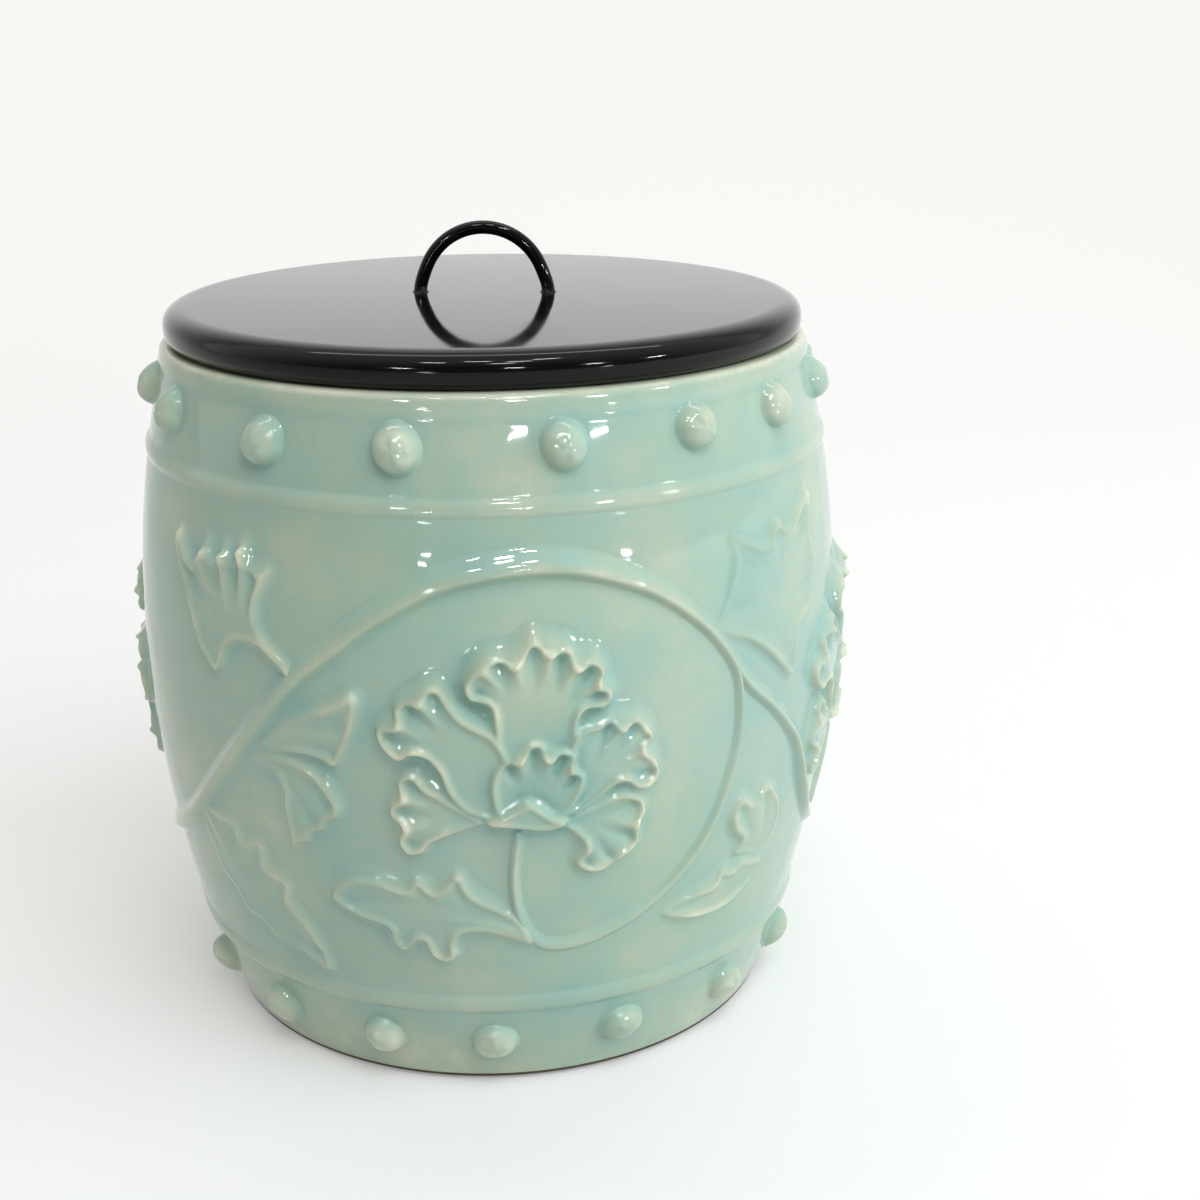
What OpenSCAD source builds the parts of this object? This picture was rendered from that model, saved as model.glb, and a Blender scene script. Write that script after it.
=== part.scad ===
// Celadon water jar (mizusashi) with a black lacquered lid, sizes in millimetres.
// The jar is a thrown barrel with two raised cords, two rows of domed studs and a peony scroll
// laid on its wall. The lid is a turned board with a locating step and a half ring for a handle.
// Frame: origin at the middle of the foot, Z up, the front peony towards -Y.

/* [Jar wall] */
// Height of the jar from the foot to the top of the rim
body_height = 165; // [120:0.5:220]
// Outside radius at the widest part
belly_radius = 85.8; // [70:0.1:110]
// Height of the widest part above the foot
belly_height = 94.5; // [70:0.5:110]
// Outside radius at the mouth
mouth_radius = 76; // [60:0.1:84]
// Outside radius at the foot
foot_radius = 69; // [55:0.1:80]
// Thickness of the wall
wall_thickness = 5.5; // [4:0.1:9]
// Thickness of the floor
floor_thickness = 7; // [5:0.1:12]

/* [Foot and rim] */
// Width of the unglazed ring that the jar stands on
foot_ring_width = 9; // [5:0.5:20]
// Depth of the hollow turned inside the foot ring
foot_hollow = 3.5; // [1:0.1:6]
// Bevel round the outside of the foot
foot_bevel = 1.2; // [0.4:0.1:3]
// Height of the lip band under the rim
lip_band = 4.6; // [3:0.1:8]
// How far the lip band stands out
lip_swell = 0.8; // [0.3:0.1:2]
// Radius on the outer edge of the rim
rim_round = 1.6; // [0.5:0.1:2.5]

/* [Raised cords] */
// Drop of the middle of the upper cord below the rim
upper_cord_drop = 22.2; // [19:0.1:30]
// Height of the middle of the lower cord
lower_cord_height = 23.4; // [20:0.1:30]
// Width of each cord up the wall
cord_width = 5.4; // [3:0.1:8]
// How far each cord stands out
cord_swell = 1.1; // [0.5:0.1:2.5]

/* [Studs] */
// Number of studs in each row
stud_count = 16; // [8:1:20]
// Drop of the upper row below the rim
upper_stud_drop = 10.8; // [9:0.1:13]
// Height of the lower row above the foot
lower_stud_height = 13.8; // [11:0.1:15]
// Diameter of a stud where it meets the wall
stud_diameter = 10.4; // [6:0.1:11]
// How far a stud stands out
stud_rise = 4.3; // [2:0.1:5]
// Turn of the upper row from the front
upper_stud_turn = 9.2; // [0:0.1:22.5]
// Turn of the lower row from the front
lower_stud_turn = 0.8; // [0:0.1:22.5]

/* [Peony scroll] */
// Width of the stem on the wall
stem_width = 3.8; // [2:0.1:5]
// How far the stem stands out
stem_rise = 2.6; // [1.5:0.1:4]
// How far the rims of the petals stand out
petal_rise = 4.3; // [2.5:0.1:6]
// How far each petal reaches past its drawn outline
petal_reach = 0.4; // [0.2:0.05:0.5]
// Depth of the hollow inside each petal
petal_hollow = 2.2; // [0.5:0.1:2.3]
// How far the edges of the leaves stand out
leaf_rise = 2.8; // [1.5:0.1:4]
// Depth of the hollow inside each leaf
leaf_hollow = 1.1; // [0.3:0.1:1.3]
// How far the cup under each flower stands out
cup_rise = 3.8; // [2:0.1:6]
// Shift of the side flowers round the wall from the front one
side_flower_shift = 112; // [108:0.5:114]
// Drop of the side flowers below the front one
side_flower_drop = 4; // [0:0.5:5]
// Layer of slip between the wall and what is laid on it
slip_gap = 0.2; // [0.16:0.01:0.3]

/* [Lid] */
// How far the lid reaches past the mouth
lid_overhang = 0; // [-2:0.1:6]
// Thickness of the lid at its edge
lid_edge = 8; // [5:0.1:12]
// Rise of the crown in the middle of the lid
lid_crown = 0.5; // [0.3:0.1:4]
// Gap between the rim and the underside of the lid
lid_seat_gap = 0.3; // [0.1:0.05:0.6]
// Depth of the locating step under the lid
lid_step_depth = 4; // [2:0.1:8]
// Gap between the locating step and the inside of the mouth
lid_step_gap = 1; // [0.4:0.1:2]

/* [Ring handle] */
// Outside width of the half ring
ring_width = 33.2; // [24:0.1:60]
// Diameter of the rod
ring_rod = 3.2; // [2:0.1:6]
// Height of the straight legs above the lid
ring_leg = 0.5; // [0.4:0.1:10]
// Turn of the ring on the lid, in degrees
ring_turn = -6; // [-90:1:90]
// Diameter of the small flare at the bottom of each leg
flare_diameter = 4.6; // [3.4:0.1:8]
// Height of the flare
flare_height = 0.4; // [0.2:0.1:2]
// Depth of the tenon in the lid
tenon_depth = 6; // [3:0.1:7]
// Gap round the tenon in its hole
tenon_gap = 0.05; // [0.02:0.01:0.2]

/* [Hidden] */
$fn = 96;
// Radii of the two arcs of the wall, which meet at the belly
upper_drop = belly_radius - mouth_radius;
upper_span = body_height - belly_height;
upper_arc = (upper_span * upper_span + upper_drop * upper_drop) / (2 * upper_drop);
lower_drop = belly_radius - foot_radius;
lower_arc = (belly_height * belly_height + lower_drop * lower_drop) / (2 * lower_drop);
// Fine steps for the long arcs
arc_steps = 720;
// Heights of the upper cord and the upper row of studs
upper_cord_height = body_height - upper_cord_drop;
upper_stud_height = body_height - upper_stud_drop;
// The scroll was laid out on a wall of this radius, between these two heights
drawn_radius = 85;
drawn_low = 26.5;
drawn_high = 139.5;
panel_low = lower_cord_height + cord_width / 2 + 0.4;
panel_high = upper_cord_height - cord_width / 2 - 0.6;
// Radius of the lid and the heights on it
lid_radius = mouth_radius + lid_overhang;
lid_bottom = body_height + lid_seat_gap;
lid_shoulder = lid_bottom + lid_edge;
lid_flat = lid_radius - lid_edge / 2;
// The low crown falls from the middle by the square of the way out
function crown_height(way_out) = lid_shoulder + lid_crown * (1 - pow(way_out / lid_flat, 2));
crown_points = [for (k = [0 : 8]) [lid_flat * (1 - k / 8), crown_height(lid_flat * (1 - k / 8))]];
ring_middle = (ring_width - ring_rod) / 2;
leg_foot = crown_height(ring_middle - flare_diameter / 2) + 0.02;
ring_centre = leg_foot + ring_leg;
// Half a turn round the drawn wall
half_turn = PI * drawn_radius;

// Outline of the flower: each petal is a closed line of points, with the point that its hollow is
// drawn from. Points run along the wall and up it.
front_petal = [[0, 78.4], [-1.5, 82], [-1, 86.5], [2.5, 89.6], [6, 92.3], [9.5, 92], [12, 89.6],
    [15.5, 89.8], [16.2, 86.6], [17.4, 83.5], [16, 79.5], [13.5, 77.2], [10, 79], [6, 80.8], [3, 79.8]];
back_petal = [[0, 93], [5, 94.8], [9.5, 94.4], [13, 92.4], [16.6, 92.6], [17, 96], [18.4, 99.6],
    [22.5, 100], [24.2, 102.8], [21.8, 105], [22.5, 108], [19.5, 110.3], [16.4, 109.6], [14.5, 113.2],
    [11.5, 112.2], [9, 114.6], [6.5, 113.5], [4, 110.5], [1, 111.6], [-2.5, 110.3], [-5.8, 106.5],
    [-5, 103], [-1, 102], [-0.6, 97]];
left_petal = [[-3.2, 77.8], [-2.8, 82], [-3, 87], [-2.4, 91], [-3, 95.5], [-6.6, 99], [-9, 102.4],
    [-11.2, 105], [-14.2, 105], [-15.6, 102.6], [-18.2, 102], [-20.8, 100.2], [-20.6, 97], [-24.6, 95.4],
    [-23.6, 91.6], [-20.2, 88.8], [-17, 90], [-14, 89.3], [-12, 86.5], [-11, 82.5], [-9, 79.2], [-6, 77]];
low_left_petal = [[-4, 74.6], [-7.5, 76], [-10.5, 79], [-12.8, 81.6], [-15, 81.2], [-17, 84],
    [-19.8, 83.3], [-20.6, 80], [-20, 78], [-22.3, 76], [-21.5, 73.5], [-19.4, 72], [-20.8, 69],
    [-19, 66.4], [-16, 67.3], [-14.5, 69.8], [-10, 71.8], [-6, 73.2]];
right_petal = [[15.4, 76], [18.2, 80], [19.4, 83.5], [18.2, 88.5], [18.8, 93], [21, 95.5], [24, 96.3],
    [26, 94.2], [29, 95.6], [31.5, 93.5], [33.2, 90.8], [31, 88.2], [33.5, 85.5], [34.7, 82], [32.5, 79.3],
    [29.5, 79.6], [27, 82], [24, 80.6], [20.5, 77.6]];
low_right_petal = [[15.6, 74], [20, 75.6], [24, 77.8], [27.5, 78], [30.5, 76.5], [31.8, 73.5], [31, 71],
    [29.6, 69.5], [30.3, 67], [28.8, 64.3], [25, 62.2], [22, 60.6], [18.8, 61], [17, 63.2], [18.6, 65.5],
    [18, 68.3], [15.5, 71.3]];
cup_middle = [5.5, 75.6];
flower_cup = [[-2, 74.6], [1.5, 77.2], [6, 79], [10, 77.2], [14, 74.6], [10, 73], [4.5, 72.9], [0.5, 73.6]];
petals = [[front_petal, [7.5, 85]], [back_petal, [8.5, 103]], [left_petal, [-10.5, 93.5]],
    [low_left_petal, [-14, 75.5]], [right_petal, [24.5, 87]], [low_right_petal, [24, 70]]];

// Outlines of the leaves round each framed flower, with the points that their hollows are drawn from
upper_fork = [[-55, 88.6], [-46, 93.4], [-40, 96.8], [-35, 99.4], [-29.6, 102.6], [-29.8, 97.5], [-31, 93],
    [-34.4, 88], [-40, 88], [-48, 87.4]];
lower_fork = [[-57, 82.5], [-52, 85.5], [-46, 86], [-40, 84], [-36, 80], [-35, 75.5], [-37, 72], [-41, 69.5],
    [-44, 66.5], [-48, 63.5], [-47, 68.5], [-47.5, 73], [-48.5, 77.5], [-50, 80.5]];
bottom_leaf = [[2, 48.5], [-3, 53], [-7, 56.5], [-9.5, 60.5], [-12, 57.5], [-15, 55.5], [-18.5, 57],
    [-21, 56], [-27, 57.8], [-33.4, 57.6], [-38.5, 52.4], [-33, 48.5], [-26, 46.4], [-25.5, 42.5], [-22.5, 40.5],
    [-19.2, 43.4], [-17.5, 43], [-16, 39.5], [-11.6, 38.5], [-11.2, 42], [-10, 46], [-4, 47.2]];
hanging_leaf = [[-47.5, 106.5], [-52.5, 108.6], [-60, 110], [-62.5, 107], [-65, 103], [-71, 107], [-74, 113],
    [-77, 120], [-81, 130], [-76, 127], [-71, 124], [-68, 128], [-64, 126], [-60.5, 131], [-57, 127.5],
    [-51, 126], [-54, 119], [-54, 114], [-49, 110]];
broad_leaf = [[55, 110], [60, 106.5], [66, 102.5], [71, 98.5], [76, 94.5], [78.5, 100], [80, 106], [85, 109],
    [87, 115], [88.5, 121], [87, 127], [89, 134], [82, 131], [75, 128.5], [69, 130], [64, 127.5],
    [58.5, 130], [56, 125], [55, 119], [52, 114.5]];
pointed_fork = [[39.5, 44], [46, 46.6], [53, 48], [57, 50.8], [62, 50.4], [66.5, 48.4], [68.5, 45], [64, 42],
    [57, 40.3], [48, 40.6]];
lobed_fork = [[63, 53], [59.5, 57.5], [57.5, 63], [60, 67.5], [65, 65.5], [70, 67.5], [74.5, 63], [76.5, 56],
    [73.5, 49.6], [68.5, 49.8]];
trailing_leaf = [[-73, 64], [-67, 64], [-63, 60.5], [-58, 60.5], [-57, 56], [-52, 52], [-51, 47], [-46.5, 40],
    [-44, 31], [-52, 34.5], [-60, 36], [-67, 39], [-72, 45], [-77, 51], [-79, 58]];
leaf_outlines = [[upper_fork, [-39, 92]], [lower_fork, [-43, 80]], [bottom_leaf, [-14, 49.5]],
    [hanging_leaf, [-64, 117]], [broad_leaf, [69, 115]], [pointed_fork, [58, 45.4]],
    [lobed_fork, [67, 58.5]], [trailing_leaf, [-62, 50]]];

// Route of the stem: it leaves the ring round one framed flower, dips under the side flower, rises
// over the next framed flower, circles it and comes up under its cup
stem_route = [[-205, 94.5], [-197, 87.5], [-187, 77], [-183, 70], [-179, 62], [-173, 54], [-165, 47.5],
    [-155, 43], [-144, 41], [-131, 41.5], [-118, 44.5], [-106, 49], [-95, 54], [-85, 60], [-78, 66],
    [-66, 78.5], [-58, 87.5], [-45, 102.5], [-35, 111], [-25, 119], [-10, 127], [8, 130], [22, 128],
    [35, 122.5], [45, 115], [52, 107.5], [56.5, 100], [57.8, 90], [56.5, 79], [52, 66.5], [45, 56],
    [35, 47.5], [23, 41.8], [13, 40.4], [7.4, 43], [4, 50], [3, 58], [3.4, 65], [4.4, 72.2]];
// Route of the short stem of a side flower, from the long stem up to the flower's cup
side_stem_route = [[2, 45.6], [2.5, 52], [3.5, 60], [4.4, 72.2 - side_flower_drop]];

// Outside radius of the wall at height z
function wall_radius(z) = z > belly_height
    ? belly_radius - upper_arc + sqrt(max(1, pow(upper_arc, 2) - pow(z - belly_height, 2)))
    : belly_radius - lower_arc + sqrt(max(1, pow(lower_arc, 2) - pow(z - belly_height, 2)));

// Inside radius of the wall at height z
function inner_radius(z) = z > belly_height
    ? belly_radius - upper_arc + sqrt(pow(upper_arc - wall_thickness, 2) - pow(z - belly_height, 2))
    : belly_radius - lower_arc + sqrt(pow(lower_arc - wall_thickness, 2) - pow(z - belly_height, 2));

// Tilt of the wall from upright at height z, in degrees
function wall_tilt(z) = asin((z - belly_height) / (z > belly_height ? upper_arc : lower_arc));

// Height on the wall of a drawn height v
function panel_height(v) = panel_low + (v - drawn_low) * (panel_high - panel_low) / (drawn_high - drawn_low);

// Point on the wall at the drawn place p, standing out by rise
function on_wall(p, rise) = let (
    z = panel_height(p[1]),
    turn = p[0] / drawn_radius * 180 / PI,
    r = wall_radius(z) + slip_gap + rise)
    [r * sin(turn), -r * cos(turn), z];

// Smooth curve through four points
function smooth(a, b, c, d, t) = 0.5 * (2 * b + (c - a) * t + (2 * a - 5 * b + 4 * c - d) * t * t
    + (3 * b - a - 3 * c + d) * t * t * t);

// Closed smooth line through points, with steps on each stretch
function closed_line(points, steps) = let (n = len(points))
    [for (i = [0 : n - 1]) for (j = [0 : steps - 1])
        smooth(points[(i + n - 1) % n], points[i], points[(i + 1) % n], points[(i + 2) % n], j / steps)];

// Open smooth line through points, with steps on each stretch
function open_line(points, steps) = let (n = len(points))
    concat([for (i = [0 : n - 2]) for (j = [0 : steps - 1])
        smooth(points[max(0, i - 1)], points[i], points[i + 1], points[min(n - 1, i + 2)], j / steps)],
        [points[n - 1]]);

// Twice the area of a closed line, positive when it runs the other way to a clock
function turn_area(line) = let (n = len(line))
    [for (i = 0, s = 0; i <= n; s = i < n ? s + line[i][0] * line[(i + 1) % n][1]
        - line[(i + 1) % n][0] * line[i][1] : s, i = i + 1) if (i == n) s][0];
function reversed(line) = [for (i = [len(line) - 1 : -1 : 0]) line[i]];

// Flat outline of the wall, grown by swell
module wall_outline(swell) {
    intersection() {
        translate([belly_radius - upper_arc, belly_height])
            circle(upper_arc + swell, $fn = arc_steps);
        translate([0, belly_height])
            square([belly_radius + 20, upper_span]);
    }
    intersection() {
        translate([belly_radius - lower_arc, belly_height])
            circle(lower_arc + swell, $fn = arc_steps);
        square([belly_radius + 20, belly_height]);
    }
}

// Flat outline of a soft bead on the wall
module bead_outline(height, width, swell) {
    bead_arc = (width * width / 4 + swell * swell) / (2 * swell);
    translate([wall_radius(height) + swell - bead_arc, height])
        circle(bead_arc);
}

// The thrown jar: wall, floor, foot ring, rim and the two turned cords
module jar_body() {
    color("#a9c9c2")
        rotate_extrude($fn = 180)
            difference() {
                union() {
                    wall_outline(0);
                    bead_outline(upper_cord_height, cord_width, cord_swell);
                    bead_outline(lower_cord_height, cord_width, cord_swell);
                    intersection() {
                        bead_outline(body_height - lip_band / 2, lip_band, lip_swell);
                        square([belly_radius + 20, body_height]);
                    }
                }
                // Hollow of the jar
                intersection() {
                    wall_outline(-wall_thickness);
                    translate([0, foot_hollow + floor_thickness])
                        square([belly_radius, body_height]);
                }
                // Hollow inside the foot ring
                square([foot_radius - foot_ring_width, foot_hollow]);
                // Bevel round the foot
                polygon([[foot_radius - foot_bevel, 0], [foot_radius + 5, foot_bevel + 5], [foot_radius + 5, 0]]);
                // Rounded outer edge of the rim
                difference() {
                    translate([mouth_radius - rim_round, body_height - rim_round])
                        square([rim_round + 5, rim_round + 1]);
                    translate([mouth_radius - rim_round, body_height - rim_round])
                        circle(rim_round);
                }
            }
}

// One row of domed studs, cut to the curve of the wall
module stud_row(height, first_turn) {
    dome = (stud_diameter * stud_diameter / 4 + stud_rise * stud_rise) / (2 * stud_rise);
    color("#bcd6cc")
        difference() {
            for (k = [0 : stud_count - 1])
                rotate([0, 0, first_turn + k * 360 / stud_count])
                    translate([0, -wall_radius(height), height])
                        rotate([-wall_tilt(height), 0, 0])
                            translate([0, dome - stud_rise, 0])
                                sphere(dome);
            rotate_extrude($fn = 180)
                wall_outline(slip_gap);
        }
}

module upper_studs() {
    stud_row(upper_stud_height, upper_stud_turn);
}

module lower_studs() {
    stud_row(lower_stud_height, lower_stud_turn);
}

// A sprig of clay on the wall: a closed outline whose edge comes down to the wall, a raised rim just
// inside the edge and a hollow round its middle point
module sprig(outline, middle, rim, hollow) {
    drawn = closed_line(outline, 2);
    line = turn_area(drawn) > 0 ? drawn : reversed(drawn);
    n = len(line);
    points = concat(
        [on_wall(middle, rim - hollow), on_wall(middle, 0)],
        [for (p = line) on_wall(middle + (p - middle) * 0.5, rim - hollow)],
        [for (p = line) on_wall(middle + (p - middle) * 0.86, rim)],
        [for (p = line) on_wall(p, 0)],
        [for (p = line) on_wall(middle + (p - middle) * 0.5, 0)]);
    faces = [for (i = [0 : n - 1]) let (
        j = (i + 1) % n,
        a = 2 + i, a2 = 2 + j,
        b = 2 + n + i, b2 = 2 + n + j,
        e = 2 + 2 * n + i, e2 = 2 + 2 * n + j,
        d = 2 + 3 * n + i, d2 = 2 + 3 * n + j)
        each [[0, a2, a], [a, a2, b2], [a, b2, b], [b, b2, e2], [b, e2, e],
            [1, d, d2], [d, e, e2], [d, e2, d2]]];
    polyhedron(points, faces, convexity = 6);
}

// A stem on the wall: a rounded ridge that follows a route
module ridge(route, steps) {
    line = open_line(route, steps);
    n = len(line);
    across = [-1, -0.78, -0.3, 0.3, 0.78, 1] * stem_width / 2;
    rises = [0, 0.62, 1, 1, 0.62, 0] * stem_rise;
    points = [for (i = [0 : n - 1]) let (
        ahead = line[min(n - 1, i + 1)] - line[max(0, i - 1)],
        side = [-ahead[1], ahead[0]] / norm(ahead))
        for (k = [0 : 5]) on_wall(line[i] + side * across[k], rises[k])];
    skin = [for (i = [0 : n - 2]) for (k = [0 : 5]) let (
        a = 6 * i + k, b = 6 * i + (k + 1) % 6)
        each [[a, b + 6, b], [a, a + 6, b + 6]]];
    last = 6 * (n - 1);
    ends = [for (k = [1 : 4]) each [[0, k, k + 1], [last, last + k + 1, last + k]]];
    polyhedron(points, concat(skin, ends), convexity = 8);
}

// One peony, with its cup and six petals, moved along the wall and down it
module peony(shift) {
    color("#c4dccf") {
        for (petal = petals)
            sprig([for (p = petal[0]) p + shift + petal_reach * (p - petal[1]) / norm(p - petal[1])],
                petal[1] + shift, petal_rise, petal_hollow);
        sprig([for (p = flower_cup) p + shift], cup_middle + shift, cup_rise, 0.2);
    }
}

module peony_front() {
    peony([0, 0]);
}

module peony_right() {
    peony([side_flower_shift, -side_flower_drop]);
}

module peony_back() {
    peony([half_turn, 0]);
}

module peony_left() {
    peony([side_flower_shift - half_turn, -side_flower_drop]);
}

// The stem that frames one flower, with the short stem of the side flower that it dips under
module scroll(turn) {
    side_shift = [side_flower_shift - half_turn, 0];
    color("#b7d2bf")
        rotate([0, 0, turn]) {
            ridge(stem_route, 2);
            ridge([for (p = side_stem_route) p + side_shift], 1);
        }
}

module scroll_front() {
    scroll(0);
}

module scroll_back() {
    scroll(180);
}

// The leaves round one framed flower
module leaves(turn) {
    color("#b3d1c6")
        rotate([0, 0, turn])
            for (leaf = leaf_outlines)
                sprig(leaf[0], leaf[1], leaf_rise, leaf_hollow);
}

module leaves_front() {
    leaves(0);
}

module leaves_back() {
    leaves(180);
}

// The turned lid: a board with a full round edge, a low crown, a locating step and two blind holes
module lid_board() {
    color("#1b191b")
        difference() {
            rotate_extrude($fn = 180)
                union() {
                    translate([0, lid_bottom])
                        square([lid_flat, lid_edge]);
                    translate([lid_flat, lid_bottom + lid_edge / 2])
                        circle(lid_edge / 2);
                    polygon(concat([[0, lid_bottom + 1], [lid_flat, lid_bottom + 1]], crown_points));
                    translate([0, lid_bottom - lid_step_depth])
                        square([inner_radius(body_height) - lid_step_gap, lid_step_depth]);
                }
            for (side = [-1, 1])
                rotate([0, 0, ring_turn])
                    translate([side * ring_middle, 0, leg_foot - tenon_depth - tenon_gap])
                        cylinder(r = ring_rod / 2 + tenon_gap, h = tenon_depth + 5);
        }
}

// The half ring on the lid, with a flare and a tenon at each leg
module ring_handle() {
    color("#141214")
        rotate([0, 0, ring_turn]) {
            translate([0, 0, ring_centre])
                rotate([90, 0, 0])
                    rotate_extrude(angle = 180)
                        translate([ring_middle, 0])
                            circle(d = ring_rod);
            for (side = [-1, 1])
                translate([side * ring_middle, 0, leg_foot]) {
                    translate([0, 0, -tenon_depth])
                        cylinder(d = ring_rod, h = tenon_depth + ring_leg);
                    cylinder(d1 = flare_diameter, d2 = ring_rod, h = flare_height);
                }
        }
}

jar_body();
upper_studs();
lower_studs();
peony_front();
peony_right();
peony_back();
peony_left();
scroll_front();
scroll_back();
leaves_front();
leaves_back();
lid_board();
ring_handle();
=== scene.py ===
# %% [markdown]
# # A celadon water jar with a lacquered lid
# This lesson dresses a water jar for the tea room. The jar is thrown like a small barrel drum, with a row
# of clay studs under the rim and another over the foot, and between them a peony scroll laid on the wall.
# A thick green-blue glaze covers all of it. The lid is turned wood under black lacquer, with a half ring.
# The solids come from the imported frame, in metres, and every new surface is put exactly where they are.

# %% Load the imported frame
import math

import bpy
import numpy as np
from mathutils import Matrix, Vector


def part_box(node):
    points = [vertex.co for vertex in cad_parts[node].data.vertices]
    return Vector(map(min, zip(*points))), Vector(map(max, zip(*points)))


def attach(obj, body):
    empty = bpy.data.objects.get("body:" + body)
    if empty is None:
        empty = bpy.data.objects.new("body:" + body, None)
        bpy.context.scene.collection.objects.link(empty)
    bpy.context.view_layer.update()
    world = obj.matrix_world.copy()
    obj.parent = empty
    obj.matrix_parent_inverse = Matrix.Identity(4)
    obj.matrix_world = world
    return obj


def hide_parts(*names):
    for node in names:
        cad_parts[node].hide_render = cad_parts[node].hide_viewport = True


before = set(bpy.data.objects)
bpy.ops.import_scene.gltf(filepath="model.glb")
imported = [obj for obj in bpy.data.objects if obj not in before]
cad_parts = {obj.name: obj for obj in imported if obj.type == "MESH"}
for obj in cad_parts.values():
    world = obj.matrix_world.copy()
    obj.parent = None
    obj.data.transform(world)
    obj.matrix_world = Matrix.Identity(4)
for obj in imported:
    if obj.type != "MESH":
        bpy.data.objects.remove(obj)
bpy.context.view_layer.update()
MM = 0.001

# %% [markdown]
# ## Camera
# The jar is seen from a little above its lid, from less than half a metre away, so its sides lean in
# towards the foot. The place, turn and lens below were fitted to the outline of the jar and its lid. A
# camera could be aimed with a Track To constraint, but a plain matrix also keeps the slight roll of the
# picture.

# %% Place the camera
camera_place = np.array([0.0, -0.4346, 0.24096])
turn_right, look_down, roll = 0.0628447, 0.3238764, -0.0068572
ahead = np.array([math.sin(turn_right) * math.cos(look_down),
                  math.cos(turn_right) * math.cos(look_down), -math.sin(look_down)])
level = np.array([math.cos(turn_right), -math.sin(turn_right), 0.0])
upright = np.cross(level, ahead)
right = math.cos(roll) * level + math.sin(roll) * upright
up = -math.sin(roll) * level + math.cos(roll) * upright

lens = bpy.data.cameras.new("photo_camera")
lens.sensor_width = 36.0
lens.lens = 53.95
camera = bpy.data.objects.new("photo_camera", lens)
matrix = np.eye(4)
matrix[:3, 0], matrix[:3, 1], matrix[:3, 2], matrix[:3, 3] = right, up, -ahead, camera_place
camera.matrix_world = Matrix(matrix.tolist())
bpy.context.scene.collection.objects.link(camera)
bpy.context.scene.camera = camera
print("camera", [round(c, 3) for c in camera_place], "lens", lens.lens)

# %% [markdown]
# ## The wall
# Everything on this jar follows one curve: the outside of the wall. It is two arcs that meet upright at the
# belly, so it is enough to know the radius and the height at the foot, the belly and the mouth. The outer
# sizes are read from the solids, and the rest repeats the values that the solids were made from.

# %% Radius of the wall at a height
jar_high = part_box("jar_body")[1]
lid_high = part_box("lid_board")[1]
ring_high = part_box("ring_handle")[1]
body_height = jar_high.z / MM
belly_radius = jar_high.x / MM
belly_height, mouth_radius, foot_radius, wall_thickness = 94.5, 76.0, 69.0, 5.5
upper_drop, upper_span = belly_radius - mouth_radius, body_height - belly_height
lower_drop = belly_radius - foot_radius
upper_arc = (upper_span ** 2 + upper_drop ** 2) / (2 * upper_drop)
lower_arc = (belly_height ** 2 + lower_drop ** 2) / (2 * lower_drop)


def wall_radius(height, inset=0.0):
    """Radius in mm at a height: the belly's radius less the arc's radius, plus the arc's own reach there,
    the square root of arc radius squared less the height from the belly squared. Inset shrinks the arc."""
    arc = np.where(height > belly_height, upper_arc, lower_arc)
    return belly_radius - arc + np.sqrt((arc - inset) ** 2 - (height - belly_height) ** 2)


print("arcs of the wall in mm:", round(upper_arc, 1), round(lower_arc, 1))

# %% [markdown]
# A place on the wall is written as two lengths, as on a sheet of paper wrapped round the jar: the way along
# from the middle of the front, and the height. The paper fits a drum of 85 mm radius, so that half a turn
# is 267 mm.

# %% From the drawing to the wall
drawn_radius = 85.0
half_turn = math.pi * drawn_radius


def on_wall(along, height, rise):
    """Point in mm over the wall: the turn is the way along over the drawn radius, and the distance from the
    axis is the wall's radius at that height plus the rise."""
    turn = along / drawn_radius
    out = wall_radius(height) + rise
    return np.stack([out * np.sin(turn), -out * np.cos(turn), height + 0 * out], axis=-1)


print("half a turn of the drawing in mm:", round(half_turn, 1))

# %% [markdown]
# ## Drawing the peony scroll
# The potter cut the flower, the stem and the leaves from clay, laid them on the leather-hard wall and
# tooled them. Sculpting them by hand in Blender would not give the same jar twice, so the relief is drawn:
# each petal and leaf is an outline of a few chosen points, and a smooth curve runs through them.

# %% Smooth lines through chosen points


def smooth_line(points, steps, closed):
    """On each stretch a cubic in t runs between two points, and its slope at each of them is half the step
    between that point's neighbours. Steps is the number of pieces on a stretch."""
    p = np.array(points, dtype=float)
    if closed:
        before, start, end, after = np.roll(p, 1, 0), p, np.roll(p, -1, 0), np.roll(p, -2, 0)
    else:
        padded = np.vstack([p[:1], p, p[-1:]])
        before, start, end, after = padded[:-3], padded[1:-2], padded[2:-1], padded[3:]
    before, start, end, after = (q[:, None, :] for q in (before, start, end, after))
    t = (np.arange(steps) / steps)[None, :, None]
    line = 0.5 * (2 * start + (end - before) * t + (2 * before - 5 * start + 4 * end - after) * t ** 2
                  + (3 * start - before - 3 * end + after) * t ** 3)
    line = line.reshape(-1, 2)
    return line if closed else np.vstack([line, p[-1:]])


flower_cup = [(-3, 74.4), (0.5, 76.4), (3.4, 78.2), (6, 79.8), (8.8, 78), (11.4, 75.8), (14.6, 74.2),
              (13, 72.6), (9, 71.8), (5, 72.6), (0.5, 73.4)]
print("points on the edge of the flower's cup:", len(smooth_line(flower_cup, 6, True)))

# %% [markdown]
# The height of a petal depends on how far a place lies inside its outline. That distance is the shortest
# way to any stretch of the line, and the sign comes from counting crossings: a place is inside if a line
# drawn sideways from it crosses the outline an odd number of times.

# %% Distance to a line


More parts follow.
